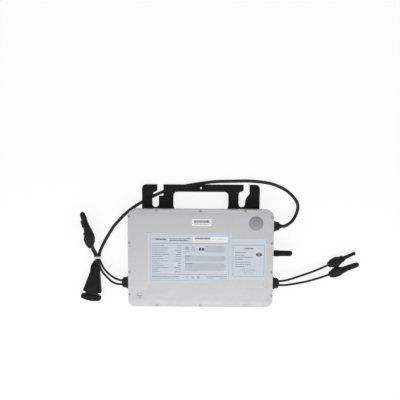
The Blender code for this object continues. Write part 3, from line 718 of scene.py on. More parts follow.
def housing():
    rim = box_of("housing")[1].z
    shell = slab("housing_shell", body_outline(HOUSING_INSET), FIN_HEIGHT, rim, 1.2)
    fins = [fin(0.0, CENTRE_RIB, FIN_LOW_Y, FIN_HIGH_Y)]
    for number in range(FINS_EACH_SIDE):
        for side in (-1, 1):
            x = side * (FIRST_FIN_X + number * FIN_PITCH)
            fins.append(fin(x, FIN_THICKNESS, FIN_LOW_Y, FIN_HIGH_Y))
    shell = combined("housing_shell", shell, [joined("fins", fins)], "UNION")
    inside = slab("inside", body_outline(HOUSING_INSET + WALL), FLOOR_TOP, rim + 2)
    middle = HOUSING_INSET + 5.8
    island = [body_outline(middle + 1.4)]
    groove = slab("groove", body_outline(middle - 1.4), rim - 1.2, rim + 1, holes=island)
    holes = []
    for nodes, radius, bottom, top in (
        (COVER_SCREWS, 1.8, 26.0, rim + 1), (BRACKET_SCREWS, BRACKET_SCREW_HOLE, 11.0, 14.4),
    ):
        for node in nodes:
            holes.append(at(spin("hole", [(radius, bottom), (radius, top)], 12), node))
    mesh = combined("finned_housing", shell, [inside, groove, joined("holes", holes)], crease=28)
    piece("finned_housing", mesh, "cast_aluminium", "unit", "housing")


def cover():
    low, high = box_of("cover_plate")
    plate = slab("cover", body_outline(0.0, 14), low.z, high.z, 0.75)
    rows = [
        (1.8, low.z - 1), (1.8, high.z - 1.9), (SCREW_RADIUS + 0.25, high.z - 0.45),
        (SCREW_RADIUS + 0.25, high.z - 0.12), (SCREW_RADIUS + 0.6, high.z + 0.2),
        (SCREW_RADIUS + 0.6, high.z + 1),
    ]
    cones = [at(spin("cone", rows, 32), node) for node in COVER_SCREWS]
    mesh = combined("printed_cover", plate, [joined("cones", cones)], crease=30)
    piece("printed_cover", mesh, "cover_aluminium", "unit", "cover_plate")


def six_lobes(angle, row):
    """A radius that bulges six times, for a screw's recess."""
    return row[0] * (1.0 + 0.16 * math.cos(6 * angle))


def cover_screws():
    """Countersunk heads with a six-lobe recess; each is turned a little differently."""
    top = box_of("cover_plate")[1].z
    draw = random.Random(11)
    for node in COVER_SCREWS:
        low = box_of(node)[0].z - top
        head = spin("head", [
            (1.3, low), (1.5, low + 0.4), (1.5, -1.7), (SCREW_RADIUS - 0.15, -0.45), (SCREW_RADIUS, -0.3),
            (SCREW_RADIUS - 0.08, -0.16), (SCREW_RADIUS - 0.3, -0.1), (1.8, -0.06),
        ], 32)
        recess = spin("recess", [(0.55, -1.25), (1.3, -1.05), (1.42, 0.5)], 36, shape=six_lobes)
        mesh = combined("screw", head, [recess])
        moved(mesh, Matrix.Rotation(draw.uniform(0, math.pi / 3), 4, "Z"))
        piece(node + "_countersunk", at(mesh, node, top), "steel", "unit", node)


def bracket_screws():
    for node in BRACKET_SCREWS:
        low, high = box_of(node)
        shank = spin("shank", [
            (2.2, high.z), (2.5, high.z - 0.5), (2.5, low.z + 3.1), (4.5, low.z + 3.1), (4.6, low.z + 2.9),
            (4.6, low.z + 1.3), (4.3, low.z + 0.5), (3.4, low.z + 0.06), (2.2, low.z),
        ], 36)
        rows = [(1.75, low.z - 0.5), (1.6, low.z + 1.5), (0.5, low.z + 1.9)]
        recess = spin("recess", rows, 36, shape=six_lobes)
        mesh = combined("screw", shank, [recess])
        piece(node + "_pan_head", at(mesh, node), "steel", "unit", node)


# ---- bracket


def handle_outline():
    """The opening for a hand, with wider corners on the side of the housing."""
    x, r = HANDLE_HALF_WIDTH - HANDLE_HIGH_CORNER, HANDLE_HIGH_CORNER
    points = arc((x, HANDLE_HIGH_Y - r), r, 0, 90) + arc((-x, HANDLE_HIGH_Y - r), r, 90, 180)
    x, r = HANDLE_HALF_WIDTH - HANDLE_LOW_CORNER, HANDLE_LOW_CORNER
    return points + arc((-x, HANDLE_LOW_Y + r), r, 180, 270) + arc((x, HANDLE_LOW_Y + r), r, 270, 360)


def bracket():
    """The slotted steel plate, with softened edges."""
    low, high = box_of("mounting_bracket")
    r = BRACKET_CORNER
    top = high.y
    right_slot = [(112.0, top), (112.0, 147.0)] + arc((108.4, 147.0), 3.6, -4, -50, 3)
    right_slot += [(106.5, 138.9), (103.6, 134.6), (102.3, 129.0)]
    right_slot += arc((94.6, 122.8), 7.4, 0, -180, 16)
    right_slot += [(87.2, 145.6)] + arc((90.6, 146.4), 3.4, 180, 112, 4)
    right_slot += [(96.6, 152.3)] + arc((95.6, 155.0), 3.0, -60, 0, 3) + [(98.6, top)]
    left_slot = [(-86.6, top), (-86.6, 143.0)] + arc((-88.6, 143.0), 2.0, 0, -90, 4)
    left_slot += [(-96.2, 141.0), (-97.2, 140.0)]
    left_slot += arc((-104.6, 122.0), 7.4, 0, -180, 16)
    left_slot += [(-112.0, 135.6), (-110.6, 140.0)] + arc((-107.0, 145.6), 3.4, 180, 118, 4)
    left_slot += [(-102.4, 151.9)] + arc((-103.4, 154.6), 3.0, -62, 0, 3) + [(-100.4, top)]
    outline = [(high.x, low.y)] + arc((high.x - r, top - r), r, 0, 90) + right_slot + left_slot
    outline += arc((low.x + r, top - r), r, 90, 180) + [(low.x, low.y)]
    holes = [handle_outline(), circle(HANG_HOLE, HANG_HOLE_RADIUS)]
    for node in BRACKET_SCREWS:
        place = centre_of(node)
        holes.append(circle((place.x, place.y), BRACKET_SCREW_HOLE))
    mesh = slab("slotted_bracket", outline, low.z, high.z, 0.45, holes)
    piece("slotted_bracket", mesh, "black_steel", "unit", "mounting_bracket")


# ---- glands and antenna


def hexagon(apothem):
    """A shape for spin that cuts a radius down to a hexagon's sides."""
    def shape(angle, row):
        turn = math.fmod(angle, math.pi / 3) - math.pi / 6
        return min(row[0], apothem / math.cos(turn)) if row[0] > apothem else row[0]
    return shape


def gland_body(prefix, matrix, flange, neck, stub, bore):
    """The flanged body: a notched rim with flats, a cone and a threaded stub."""

    def notched(angle, row):
        if len(row) > 2:
            return row[0] - row[2] * max(0.0, math.cos(24 * angle)) ** 2
        return row[0]

    inner = stub - 1.3
    rows = [(inner, BODY_LENGTH), (stub - 0.5, BODY_LENGTH), (stub - 0.1, BODY_LENGTH - 0.4)]
    for turn in range(4):
        height = 13.2 - turn * 1.0
        rows += [(stub - 0.1, height), (stub - 0.7, height - 0.3), (stub - 0.1, height - 0.6)]
    rows += [
        (stub, 9.0), (neck - 0.3, 8.9), (neck, 8.6), (flange - 1.2, 5.5), (flange - 0.5, 5.0),
        (flange - 0.1, 4.6, 0.5), (flange, 4.1, 0.6), (flange, 1.4, 0.6), (flange - 0.1, 0.7),
        (flange - 0.5, 0.15), (bore + 0.3, 0.0), (bore, -0.2), (bore, -8.0), (inner, -8.0),
    ]
    mesh = moved(spin(prefix + "_body", rows, 144, True, 26, notched, 12.0), matrix)
    piece(prefix + "_flanged_body", mesh, "black_nylon", "unit", prefix + "_body")


def gland_nut(prefix, matrix, apothem, stub, lip_hole):
    """The hexagonal cap nut, domed towards the lead."""
    corner = apothem / math.cos(math.pi / 6)
    bore = stub + 0.35
    rows = [
        (lip_hole, 15.6), (lip_hole + 0.4, 15.7), (apothem - 2.6, 15.7), (apothem - 1.3, 15.4),
        (apothem - 0.4, 14.7), (apothem + 0.5, 13.9), (corner - 0.3, 13.4), (corner, 13.0), (corner, 10.1),
        (corner - 0.3, 9.6), (apothem + 0.1, 9.35), (apothem - 0.8, 9.3), (bore, 9.3), (bore, 14.3),
        (lip_hole, 14.3),
    ]
    mesh = moved(spin(prefix + "_nut", rows, 96, True, 24, hexagon(apothem)), matrix)
    piece(prefix + "_cap_nut", mesh, "black_nylon", prefix + "_nut", prefix + "_nut")


def gland_insert(prefix, matrix, seal, nose, offsets, bore):
    """The rubber insert, with its nose outside the nut and a hole for each lead."""
    plug = spin("insert", [(seal, 0.5), (seal, 14.0), *nose], 48)
    bores = [moved(spin("bore", [(bore, -1.0), (bore, 25.0)], 24), shift(offset, 0.0)) for offset in offsets]
    mesh = moved(combined("insert", plug, [joined("bores", bores)]), matrix)
    piece(prefix + "_rubber_insert", mesh, "black_rubber", prefix + "_insert", prefix + "_insert")


def glands():
    pair = (-DC_LEAD_OFFSET, DC_LEAD_OFFSET)
    for prefix, side, radii, nose, offsets, diameter in (
        ("ac_gland", 1, AC_GLAND, AC_NOSE, (0.0,), AC_DIAMETER),
        ("dc_right_gland", 1, DC_GLAND, DC_NOSE, pair, DC_DIAMETER),
        ("dc_left_gland", -1, DC_GLAND, DC_NOSE, pair, DC_DIAMETER),
    ):
        flange, neck, stub, bore, flats, lip, seal = radii
        low, high = box_of(prefix + "_body")
        middle = (low + high) / 2
        outside = high.x - BODY_LENGTH if side > 0 else low.x + BODY_LENGTH
        matrix = facing((outside, middle.y, middle.z), (side, 0, 0))
        gland_body(prefix, matrix, flange, neck, stub, bore)
        gland_nut(prefix, matrix, flats, stub, lip)
        gland_insert(prefix, matrix, seal, nose, offsets, diameter / 2 + BORE_GAP)


def antenna():
    """Jack, seal ring and the rubber stub with its ribbed collar."""
    low, high = box_of("antenna_jack")
    matrix = facing((high.x - 12.0, (low.y + high.y) / 2, (low.z + high.z) / 2), (1, 0, 0))
    rows = [(2.4, 12.0), (2.9, 11.6)]
    for turn in range(11):
        height = 11.2 - turn * 0.7
        rows += [(3.1, height), (2.8, height - 0.35)]
    rows += [(3.1, 3.4), (3.1, 2.6), (6.2, 2.6), (6.6, 2.3), (6.6, 0.3), (6.3, 0.0), (3.1, 0.0), (3.1, -12.0)]
    jack = spin("jack", rows, 48, shape=hexagon(5.9))
    piece("antenna_hex_jack", moved(jack, matrix), "brass", "unit", "antenna_jack")
    rows = [(6.0, 4.1), (6.2, 3.9), (6.2, 3.1), (6.0, 2.9), (3.7, 2.9), (3.6, 3.1), (3.6, 3.9), (3.7, 4.1)]
    ring = spin("ring", rows, 40, closed=True)
    piece("antenna_washer", moved(ring, matrix), "gasket_rubber", "antenna_seal_ring", "antenna_seal_ring")

    def ribbed(angle, row):
        depth = row[2] if len(row) > 2 else 0.0
        return row[0] - depth * (0.5 - 0.5 * math.cos(20 * angle))

    outer = [
        (1.0, 46.6), (2.4, 46.35), (3.7, 45.75), (4.7, 44.9), (5.5, 43.8), (6.0, 42.6), (6.3, 41.0),
        (6.4, 39.0), (6.45, 30.0), (6.55, 18.4), (6.5, 17.6), (6.3, 17.3), (6.3, 16.9), (6.9, 16.5),
        (7.1, 16.0, 0.45), (7.3, 14.8, 0.5), (7.3, 6.4, 0.5), (7.2, 5.4, 0.45), (7.0, 4.7), (6.6, 4.4),
        (3.7, 4.4), (3.5, 4.7), (3.5, 13.3), (1.0, 13.5),
    ]
    stub = spin("stub", outer, 120, crease=30, shape=ribbed)
    piece("stub_antenna", moved(stub, matrix), "black_rubber", "antenna", "antenna")


# ---- plugs and tie


def panel_plug(node, tail, tip, height, sections, extras):
    """A panel lead's plug: smooth sections with crisp steps between them, and the extras joined on."""
    rings = [oval(row) for keys in sections for row in smooth_rows(keys)]
    body = combined("plug", loft("plug", rings, crease=34), [joined("extras", extras)], "UNION", crease=34)
    mesh = moved(body, facing((*tail, height), (tip[0] - tail[0], tip[1] - tail[1], 0)))
    return piece(node + "_body", mesh, "plug_plastic", "unit", node)


def ring_band(radius_x, radius_y, start, end, depth):
    """A raised band around a plug's barrel."""
    rings = []
    for along, rise in ((start, 0.0), (start + depth, depth), (end - depth, depth), (end, 0.0)):
        rings.append(oval((along, radius_x + rise, radius_x + rise, radius_y + rise, 2.0), 32))
    return loft("band", rings)


def lengthwise_ribs(radius_x, radius_y, start, end, count):
    """Thin ribs along a plug's tail nut."""
    ribs = []
    for number in range(count):
        angle = 2 * math.pi * (number + 0.5) / count
        rib = box("rib", (-0.55, -0.6, start), (0.55, 0.45, end), 0.2, 1)
        place = shift(radius_x * math.cos(angle), radius_y * math.sin(angle))
        ribs.append(moved(rib, place @ Matrix.Rotation(angle - math.pi / 2, 4, "Z")))
    return ribs


def pin_plug(node, tail, tip, height):
    """The plug with the slim pin barrel; two latch arms stand out beside the barrel's foot."""
    tail_boot = [
        (0.0, 4.4, 4.4, 3.6, 2.0), (0.8, 5.4, 5.4, 4.2, 2.0), (2.4, 6.4, 6.3, 4.9, 2.1),
        (4.0, 6.8, 7.0, 5.4, 2.1),
    ]
    body = [
        (4.0, 6.9, 7.1, 5.6, 2.2), (6.5, 7.8, 8.4, 6.4, 2.3), (9.0, 9.2, 9.9, 7.2, 2.4),
        (13.0, 10.0, 11.2, 7.9, 2.6), (18.0, 10.4, 12.1, 8.3, 2.7), (23.0, 10.8, 12.2, 8.3, 2.7),
        (26.0, 10.0, 10.9, 8.0, 2.7), (29.0, 8.6, 9.6, 7.5, 2.6), (31.5, 7.3, 8.6, 7.0, 2.5),
        (34.0, 7.3, 7.5, 6.5, 2.5), (37.0, 7.4, 7.5, 6.2, 2.6), (39.0, 6.0, 6.5, 5.8, 2.6),
        (41.0, 4.9, 5.7, 5.2, 2.4), (43.0, 4.5, 5.2, 4.6, 2.2),
    ]
    barrel = [(along, radius, radius, radius, 2.0) for along, radius in (
        (43.4, 4.3), (48.0, 4.1), (56.0, 3.9), (63.4, 3.8), (65.0, 3.8), (65.8, 4.0), (68.0, 4.0),
        (69.4, 3.2), (70.2, 1.4),
    )]
    extras = [
        ring_band(4.0, 4.0, 48.4, 50.0, 0.3), ring_band(3.95, 3.95, 51.6, 53.2, 0.3),
        box("arm", (5.0, -1.9, 33.0), (7.7, 1.9, 38.8), 0.5),
        box("arm", (-7.8, -1.9, 33.0), (-5.0, 1.9, 38.8), 0.5),
        box("key", (-1.6, 6.2, 26.0), (1.6, 8.2, 36.0), 0.5),
    ]
    extras += lengthwise_ribs(6.9, 5.6, 3.0, 8.0, 12)
    return panel_plug(node, tail, tip, height, [tail_boot, body, barrel], extras)


def socket_plug(node, tail, tip, height):
    """The plug with the thick socket barrel and a rounded mouth."""
    tail_boot = [
        (0.0, 4.3, 5.2, 3.8, 2.0), (0.8, 5.0, 6.6, 4.8, 2.0), (2.0, 5.3, 7.8, 5.4, 2.1),
        (3.6, 5.8, 8.6, 5.9, 2.1),
    ]
    body = [
        (3.6, 5.9, 8.7, 6.1, 2.3), (6.5, 7.2, 9.6, 7.0, 2.4), (9.5, 9.0, 10.7, 7.5, 2.5),
        (14.0, 10.9, 11.2, 7.8, 2.7), (20.0, 11.4, 11.4, 8.0, 2.8), (25.0, 11.1, 10.7, 7.8, 2.7),
        (28.5, 10.1, 9.7, 7.4, 2.6), (31.5, 8.3, 8.8, 7.0, 2.5), (34.5, 7.1, 8.1, 6.7, 2.4),
        (38.0, 6.7, 7.5, 6.4, 2.3), (42.0, 6.4, 7.1, 6.2, 2.2),
    ]
    barrel = [
        (42.2, 6.1, 6.6, 5.9, 2.1), (46.0, 6.2, 6.3, 5.9, 2.1), (56.0, 6.2, 6.3, 5.9, 2.1),
        (65.0, 6.2, 6.2, 5.9, 2.0), (68.0, 5.9, 5.8, 5.6, 2.0), (71.0, 5.0, 5.2, 4.9, 2.0),
        (73.0, 3.9, 4.0, 3.8, 2.0), (74.0, 2.4, 2.4, 2.4, 2.0),
    ]
    extras = [
        ring_band(6.3, 6.2, 39.0, 41.2, 0.45),
        box("window", (5.5, -1.6, 46.0), (6.6, 1.6, 51.5), 0.4),
        box("window", (-6.7, -1.6, 46.0), (-5.5, 1.6, 51.5), 0.4),
        box("key", (-1.7, 6.0, 24.0), (1.7, 7.9, 35.0), 0.5),
    ]
    extras += lengthwise_ribs(6.9, 6.0, 3.0, 8.0, 14)
    return panel_plug(node, tail, tip, height, [tail_boot, body, barrel], extras)


def wide_plug(node, tail, tip, height):
    """The left pair's upper plug, lying on its broad side, with a short dark cap on its mouth."""
    tail_boot = [
        (0.0, 4.2, 4.6, 3.2, 2.0), (1.0, 5.0, 5.8, 3.8, 2.0), (3.0, 6.5, 7.6, 4.8, 2.1),
        (4.6, 7.4, 8.2, 5.4, 2.1),
    ]
    body = [
        (4.6, 7.5, 8.3, 5.6, 2.3), (8.5, 9.2, 9.5, 6.6, 2.5), (13.0, 10.9, 10.8, 7.4, 2.7),
        (19.0, 11.6, 11.1, 7.8, 2.8), (25.0, 11.2, 10.3, 7.6, 2.7), (29.0, 10.5, 9.7, 7.3, 2.6),
        (32.0, 9.0, 9.2, 6.9, 2.6), (36.0, 7.9, 8.3, 6.5, 2.5), (43.0, 7.7, 6.9, 6.0, 2.5),
        (52.0, 7.5, 6.0, 5.7, 2.4), (58.4, 7.4, 5.9, 5.6, 2.3),
    ]
    cap = [
        (58.6, 6.6, 5.6, 5.2, 2.0), (60.0, 6.9, 6.2, 5.4, 2.0), (67.0, 7.1, 6.2, 5.4, 2.0),
        (71.0, 6.9, 5.5, 5.1, 2.0), (73.0, 6.3, 5.1, 4.7, 2.0), (75.4, 5.0, 4.0, 3.7, 2.0),
        (76.8, 3.4, 2.8, 2.6, 2.0), (77.4, 1.9, 1.6, 1.5, 2.0),
    ]
    extras = [
        box("wing", (6.6, -2.2, 42.5), (10.1, 2.2, 58.3), 0.6),
        box("key", (-1.8, 5.0, 37.0), (1.8, 6.9, 50.0), 0.5),
    ]
    extras += lengthwise_ribs(7.9, 5.5, 3.4, 8.6, 14)
    return panel_plug(node, tail, tip, height, [tail_boot, body, cap], extras)


def ac_plug_frame():
    """The mains plug's own frame: its origin at the lead's end and its local -Y away from the lead."""
    return shift(*AC_PLUG_PLACE) @ Matrix.Rotation(math.radians(AC_PLUG_TURN), 4, "Z")


def plug_section(y, half_width, low, high, bevel, lip):
    """One cross-section of the mains plug: a flat base, steep sides and broad bevels beside the top."""
    half = [
        (half_width - 1.0, y, low), (half_width, y, low + 1.2), (half_width, y, high - lip),
        (half_width - bevel, y, high - 0.5), (half_width - bevel - 0.8, y, high),
    ]
    return half + [(-x, y, z) for x, y, z in reversed(half)]


def mains_plug_body():
    """The flat mains plug: a domed neck, and a widening body with curved grip ribs."""
    sections = []
    for y, half_width, high, bevel in (
        (-25.4, 9.8, 13.0, 2.8), (-26.4, 10.9, 14.4, 3.2), (-30.0, 11.7, 15.2, 3.4), (-40.0, 13.9, 15.7, 3.8),
        (-56.0, 17.4, 15.9, 4.5), (-70.0, 20.4, 16.0, 5.2), (-74.6, 21.4, 16.0, 5.4),
        (-75.8, 21.4, 15.6, 5.4), (-76.8, 19.8, 14.8, 5.0),
    ):
        sections.append(plug_section(y, half_width, 0.15, high, bevel, 4.0))
    body = loft("ac_body", sections, crease=26)
    neck_rows = [
        (0.0, 4.8, 4.8, 4.4, 2.0), (1.2, 6.0, 6.0, 4.9, 2.0), (4.0, 7.6, 7.6, 5.3, 2.0),
        (7.5, 9.2, 9.2, 5.9, 2.1), (11.5, 11.2, 11.2, 6.6, 2.2), (16.0, 12.2, 12.2, 7.0, 2.3),
        (22.0, 12.2, 12.2, 7.1, 2.4), (26.6, 12.0, 12.0, 7.1, 2.4), (30.0, 10.2, 10.2, 6.4, 2.4),
    ]
    neck = loft("neck", [oval(row) for row in smooth_rows(neck_rows)])
    moved(neck, facing((0, 0, AC_NECK_Z), (0, -1, 0)))
    tongue = box("tongue", (-14.5, -90.0, 6.5), (14.5, -70.0, 15.2), 0.8)
    ribs = []
    for number in range(4):
        middle = -46.5 - number * 5.6
        half = 6.6 + number * 1.0
        rings = []
        for step in range(13):
            x = -half + 2 * half * step / 12
            sag = middle - 1.6 * (1 - (x / half) ** 2)
            height = 16.3 if 0 < step < 12 else 15.9
            rings.append([(x, sag - 1.0, 15.0), (x, sag - 1.0, height - 0.35), (x, sag - 0.6, height),
                          (x, sag + 0.6, height), (x, sag + 1.0, height - 0.35), (x, sag + 1.0, 15.0)])
        ribs.append(loft("rib", rings))
    collar = slab("collar", rounded_rectangle((-10.6, -31.0), (10.6, -24.5), 3.0), 10.0, 14.9, 0.5)
    mesh = combined("ac_plug", body, [neck, tongue, collar, joined("ribs", ribs)], "UNION", crease=28)
    mesh = moved(mesh, ac_plug_frame())
    # Painted shade: the body takes the darker copy of the plug plastic (slot plug_plastic), not a plastic of
    # its own.
    return piece("mains_plug_body", mesh, "plug_plastic_painted_shade", "unit", "ac_plug", slot="plug_plastic")


def mains_plug_cap():
    """The push-on end cap, with a bowed end, a pocket for the plug's tongue and grooves on top."""
    outline = [(-22.4, -82.6), (22.4, -82.6), (23.3, -84.2), (23.5, -88.5), (22.9, -91.6), (21.2, -93.2)]
    outline += [(x, -96.8 + 3.6 * (x / 21.2) ** 2) for x in (16.0, 11.0, 5.5, 0.0, -5.5, -11.0, -16.0)]
    outline += [(-21.2, -93.2), (-22.9, -91.6), (-23.5, -88.5), (-23.3, -84.2)]
    shell = slab("cap", outline[::-1], 0.15, 17.15, 0.9)
    pocket = box("pocket", (-15.0, -91.0, 6.2), (15.0, -70.0, 15.6))
    undercuts = [box("undercut", (x, -100.0, -1.0), (x + 13.0, -70.0, 8.5)) for x in (-30.0, 17.0)]
    grooves = [box("groove", (x - 0.7, -98.0, 15.9), (x + 0.7, -85.0, 19.0), 0.3) for x in (-18.2, 18.2)]
    mesh = combined("cap", shell, [pocket, *undercuts, joined("grooves", grooves)], crease=28)
    mesh = moved(mesh, ac_plug_frame())
    node = "ac_plug_cap"
    # Painted shade: the cap takes the same darker copy of the plug plastic.
    return piece("mains_plug_end_cap", mesh, "plug_plastic_painted_shade", node, node, slot="plug_plastic")


def cable_tie():
    """A nylon tie: the band around the leads, and its head on top."""
    outer = rounded_rectangle((-8.9, -8.6), (8.9, 8.6), 5.0)
    inner = rounded_rectangle((-7.7, -7.4), (7.7, 7.4), 3.8)
    band = slab("band", outer, -2.1, 2.1, 0.25, [inner])
    head = box("head", (-7.0, 7.6, -2.6), (-2.2, 10.0, 2.6), 0.6)
    mesh = combined("tie", band, [head], "UNION")
    moved(mesh, facing(TIE_PLACE, TIE_DIRECTION))
    return piece("nylon_tie", mesh, "white_nylon", "unit", "cable_tie")


# ---- labels


class Print:
    """Flat printed shapes on one label, gathered by ink; each label has its own row of random numbers."""

    def __init__(self, name, seed):
        self.name = name
        self.draw = random.Random(seed)
        self.shapes = {}

    def add(self, ink, mesh):
        self.shapes.setdefault(ink, []).append(mesh)

    def bar(self, ink, x0, y0, x1, y1, top=PRINT_TOP):
        self.add(ink, box("bar", (x0, min(y0, y1), PRINT_BASE), (x1, max(y0, y1), top)))

    def patch(self, ink, x0, y0, x1, y1, radius):
        outline = rounded_rectangle((x0, min(y0, y1)), (x1, max(y0, y1)), radius, 4)
        self.add(ink, slab("patch", outline, PRINT_BASE, PRINT_TOP - 0.03))

    def frame(self, ink, x0, y0, x1, y1, radius, width):
        outer = rounded_rectangle((x0, y0), (x1, y1), radius, 6)
        corner = max(0.2, radius - width)
        inner = rounded_rectangle((x0 + width, y0 + width), (x1 - width, y1 - width), corner, 6)
        self.add(ink, slab("frame", outer, PRINT_BASE, PRINT_TOP, 0.0, [inner]))

    def ring(self, ink, x, y, radius, width):
        outer, inner = circle((x, y), radius), circle((x, y), radius - width)
        self.add(ink, slab("ring", outer, PRINT_BASE, PRINT_TOP, 0.0, [inner]))

    def words(self, ink, x0, x1, y, height, shortest=1.6, longest=6.0, gap=0.9):
        """A line of bars that stand for words, from x0 to x1."""
        x = x0
        while x < x1 - shortest / 2:
            end = min(x1, x + self.draw.uniform(shortest, longest))
            self.bar(ink, x, y - height / 2, end, y + height / 2)
            x = end + gap

    def letters(self, ink, x0, x1, y, height):
        """Short blocks of uneven width and height that stand for large print."""
        x = x0
        while x < x1 - 0.6:
            end = min(x1, x + self.draw.uniform(1.3, 2.6))
            rise = self.draw.choice((0.0, 0.0, 0.35)) * height
            self.bar(ink, x, y - height / 2, end, y + height / 2 + rise)
            x = end + 0.55

    def barcode(self, ink, x0, x1, y0, y1):
        x = x0
        while x < x1:
            width = self.draw.choice((0.35, 0.5, 0.9))
            self.bar(ink, x, y0, min(x1, x + width), y1, PRINT_TOP + 0.02)
            x += width + self.draw.choice((0.3, 0.3, 0.5))

    def make(self, slot):
        for ink, shapes in self.shapes.items():
            piece(f"{self.name}_{ink}", joined(self.name, shapes), ink, "unit", slot=slot)


def label_film(name, node, look, radius):
    """A label's film, sunk a little into the cover."""
    low, high = box_of(node)
    outline = rounded_rectangle((low.x, low.y), (high.x, high.y), radius, 6)
    mesh = slab(name, outline, low.z - 0.04, PRINT_BASE + 0.015, 0.04)
    piece(name, mesh, look, "unit", node)


def rating_label():
    """The large pale blue label: frame, heading, table, text blocks and a bottom line, all as plain bars."""
    label_film("rating_film", "rating_label", "blue_film", 2.0)
    page = Print("rating_print", 3)
    page.frame("pale_ink", -114.0, -51.8, 64.4, 56.0, 3.0, 0.45)
    page.ring("grey_ink", -105.6, 45.6, 3.2, 0.7)
    page.letters("dark_ink", -101.6, -78.6, 44.4, 2.6)
    page.words("grey_ink", -71.5, -21.5, 46.4, 1.2, 3.0, 8.0)
    page.letters("dark_ink", -71.5, -29.0, 42.1, 1.7)
    page.patch("white_film", -17.6, 37.7, 22.2, 51.0, 1.2)
    page.barcode("dark_ink", -13.6, 21.0, 44.4, 49.4)
    page.words("grey_ink", -14.2, 20.0, 40.8, 1.0, 1.6, 4.0)
    page.patch("white_film", 23.4, 38.1, 61.8, 50.5, 1.0)
    page.words("pale_ink", 26.0, 59.0, 45.2, 0.9, 3.0, 7.0)
    page.bar("grey_ink", -110.6, 34.8, 60.2, 35.4)
    page.bar("grey_ink", -110.8, -36.7, 60.6, -36.1)
    for number in range(TABLE_ROWS):
        y = 29.8 - number * TABLE_PITCH
        page.words("grey_ink", -110.6, -110.6 + page.draw.uniform(13.0, 39.0), y, 1.25)
        page.words("grey_ink", -44.0 - page.draw.uniform(5.0, 18.0), -44.0, y, 1.25)
    page.ring("grey_ink", -31.2, 24.6, 4.2, 0.9)
    page.bar("grey_ink", -33.0, 23.4, -29.4, 26.2)
    page.words("grey_ink", -35.4, -25.0, 17.6, 0.9, 2.0, 4.0)
    for number in range(4):
        page.words("pale_ink", -22.4, -7.4 - page.draw.uniform(0.0, 4.0), 25.6 - number * 2.3, 1.0, 2.0, 5.0)
    page.bar("dark_ink", -3.7, 18.9, 1.1, 25.3)
    page.bar("dark_ink", 3.1, 18.9, 7.9, 25.3)
    for top, rows, left, right in ((29.0, 7, 10.4, 55.8), (6.2, 6, -35.2, 56.6), (-11.0, 9, -35.2, 57.4)):
        for number in range(rows):
            last = number == rows - 1
            end = left + (right - left) * 0.35 if last and rows == 9 else right - page.draw.uniform(0.0, 4.0)
            page.words("pale_ink", left, end, top - number * TEXT_PITCH, 1.0, 1.4, 5.0, 0.8)
    page.letters("grey_ink", -35.2, -23.0, 6.3, 1.3)
    page.letters("grey_ink", -35.2, -19.0, -10.9, 1.3)
    page.letters("grey_ink", -110.9, -48.4, -41.8, 1.4)
    page.words("pale_ink", -110.9, -47.0, -45.7, 1.0)
    page.ring("grey_ink", -31.0, -43.5, 3.1, 0.55)
    for x in (-17.8, -4.6):
        page.frame("grey_ink", x - 2.7, -46.2, x + 2.7, -40.9, 0.8, 0.6)
        page.bar("grey_ink", x - 0.8, -45.0, x + 0.8, -42.1)
    page.letters("grey_ink", 13.4, 59.6, -41.1, 1.4)
    page.words("pale_ink", 13.4, 30.6, -45.1, 1.0)
    page.words("pale_ink", 43.2, 59.6, -45.1, 1.0)
    page.make("blue_film")


def serial_label():
    label_film("serial_film", "serial_label", "white_film", 1.5)
    low, high = box_of("serial_label")
    page = Print("serial_print", 5)
    page.barcode("dark_ink", low.x + 4.6, high.x - 4.6, low.y + 7.2, high.y - 3.0)
    page.words("grey_ink", low.x + 4.6, high.x - 7.0, low.y + 4.2, 1.4, 1.8, 5.0)
    page.make("white_film")


def side_label():
    """The smaller pale blue label beside the rating label."""
    label_film("side_film", "side_label", "blue_film", 2.0)
    page = Print("side_print", 7)
    page.frame("grey_ink", 73.6, -40.2, 144.8, 32.4, 0.6, 0.5)
    page.letters("dark_ink", 99.6, 120.4, 24.0, 2.0)
    page.letters("grey_ink", 78.7, 105.0, 14.8, 1.5)
    for y, end in ((8.4, 98.6), (3.7, 118.0), (-1.3, 96.6), (-7.4, 113.6), (-13.0, 115.0), (-17.8, 100.8)):
        page.words("grey_ink", 78.8, end, y, 1.3)
    for y, half in ((-23.5, 14.4), (-27.4, 19.0), (-31.0, 10.8), (-35.1, 10.0)):
        page.words("pale_ink", 109.2 - half, 109.2 + half, y, 1.2)
    page.patch("white_film", 125.6, 3.8, 139.9, 16.6, 0.8)
    page.bar("dark_ink", 126.2, 7.0, 139.3, 13.6)
    page.bar("grey_ink", 128.0, 4.6, 137.5, 5.8)
    page.bar("grey_ink", 128.0, 14.8, 137.5, 15.8)
    page.bar("pale_ink", 130.6, 8.4, 134.9, 12.2, PRINT_TOP + 0.02)
    page.make("blue_film")


def round_sticker():
    low, high = box_of("round_sticker")
    middle = (low + high) / 2
    radius = (high.x - low.x) / 2
    mesh = slab("sticker", circle((middle.x, middle.y), radius, 64), low.z - 0.04, high.z - 0.03, 0.05)
    piece("round_foil", mesh, "grey_foil", "unit", "round_sticker")


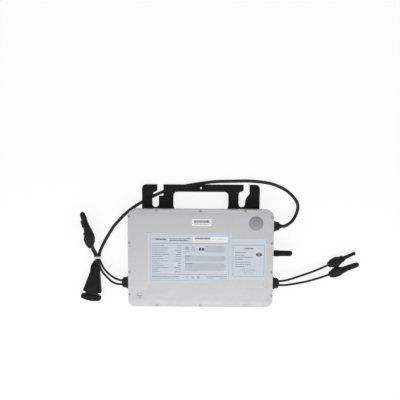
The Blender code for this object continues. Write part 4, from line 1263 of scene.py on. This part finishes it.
def cover_marks():
    """Two faint rings printed on the bare cover; the left one holds a few small bars."""
    top = box_of("cover_plate")[1].z
    low, high = top - 0.02, top + 0.03
    rings = []
    for radius, width, x, y in ((8.3, 0.5, -139.1, -87.2), (5.6, 0.3, 149.3, -60.7)):
        outer, inner = circle((x, y), radius, 48), circle((x, y), radius - width, 48)
        rings.append(slab("ring", outer, low, high, 0.0, [inner]))
    piece("cover_rings", joined("rings", rings), "pale_ink", "unit", slot="cover_aluminium")
    bars = []
    for x, y, half_width, half_height in (
        (-143.2, -82.6, 0.9, 1.0), (-136.4, -82.4, 0.8, 0.8), (-139.4, -87.2, 6.2, 0.7),
        (-138.6, -91.6, 2.0, 0.8),
    ):
        corner = (x + half_width, y + half_height, high)
        bars.append(box("bar", (x - half_width, y - half_height, low), corner))
    piece("cover_bars", joined("bars", bars), "grey_ink", "unit", slot="cover_aluminium")


# ---- inner parts


def carried_over():
    """CAD nodes whose shape is right keep it and get a full material."""
    looks = {
        "cover_gasket": "gasket_rubber", "main_board": "circuit_board", "ac_terminal_block": "green_plastic",
        "dc_left_terminal_block": "green_plastic", "dc_right_terminal_block": "green_plastic",
        "transformer_1": "ferrite", "transformer_2": "ferrite", "capacitor_1": "capacitor_sleeve",
        "capacitor_2": "capacitor_sleeve", "choke": "copper",
    }
    for node, look in looks.items():
        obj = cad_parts[node]
        obj.data.materials.clear()
        obj.data.materials.append(LOOKS[look])


# ---- the scene


camera()
LOOKS = make_materials()

mains_plug = mains_plug_body()
mains_cap = mains_plug_cap()
tie = cable_tie()
right_pin = pin_plug("dc_right_pin_plug", (299.1, -21.2), (362.8, 8.5), LOW_PLUG_HEIGHT)
right_socket = socket_plug("dc_right_socket_plug", (302.4, -44.0), (371.5, -18.0), LOW_PLUG_HEIGHT)
left_socket = wide_plug("dc_left_socket_plug", (-250.2, 29.5), (-271.2, 101.8), HIGH_PLUG_HEIGHT)
left_pin = pin_plug("dc_left_pin_plug", (-256.4, 16.3), (-277.9, 91.6), LOW_PLUG_HEIGHT)
lead("ac_lead", AC_ROUTE, AC_DIAMETER, 28, CORE_RELIEF)
lead("dc_right_lead_upper", DC_RIGHT_UPPER_ROUTE, DC_DIAMETER, 20)
lead("dc_right_lead_lower", DC_RIGHT_LOWER_ROUTE, DC_DIAMETER, 20)
lead("dc_left_lead_upper", DC_LEFT_UPPER_ROUTE, DC_DIAMETER, 20)
lead("dc_left_lead_lower", DC_LEFT_LOWER_ROUTE, DC_DIAMETER, 20)

studio()
housing()
cover()
cover_screws()
bracket()
bracket_screws()
glands()
antenna()
rating_label()
serial_label()
side_label()
round_sticker()
cover_marks()
carried_over()
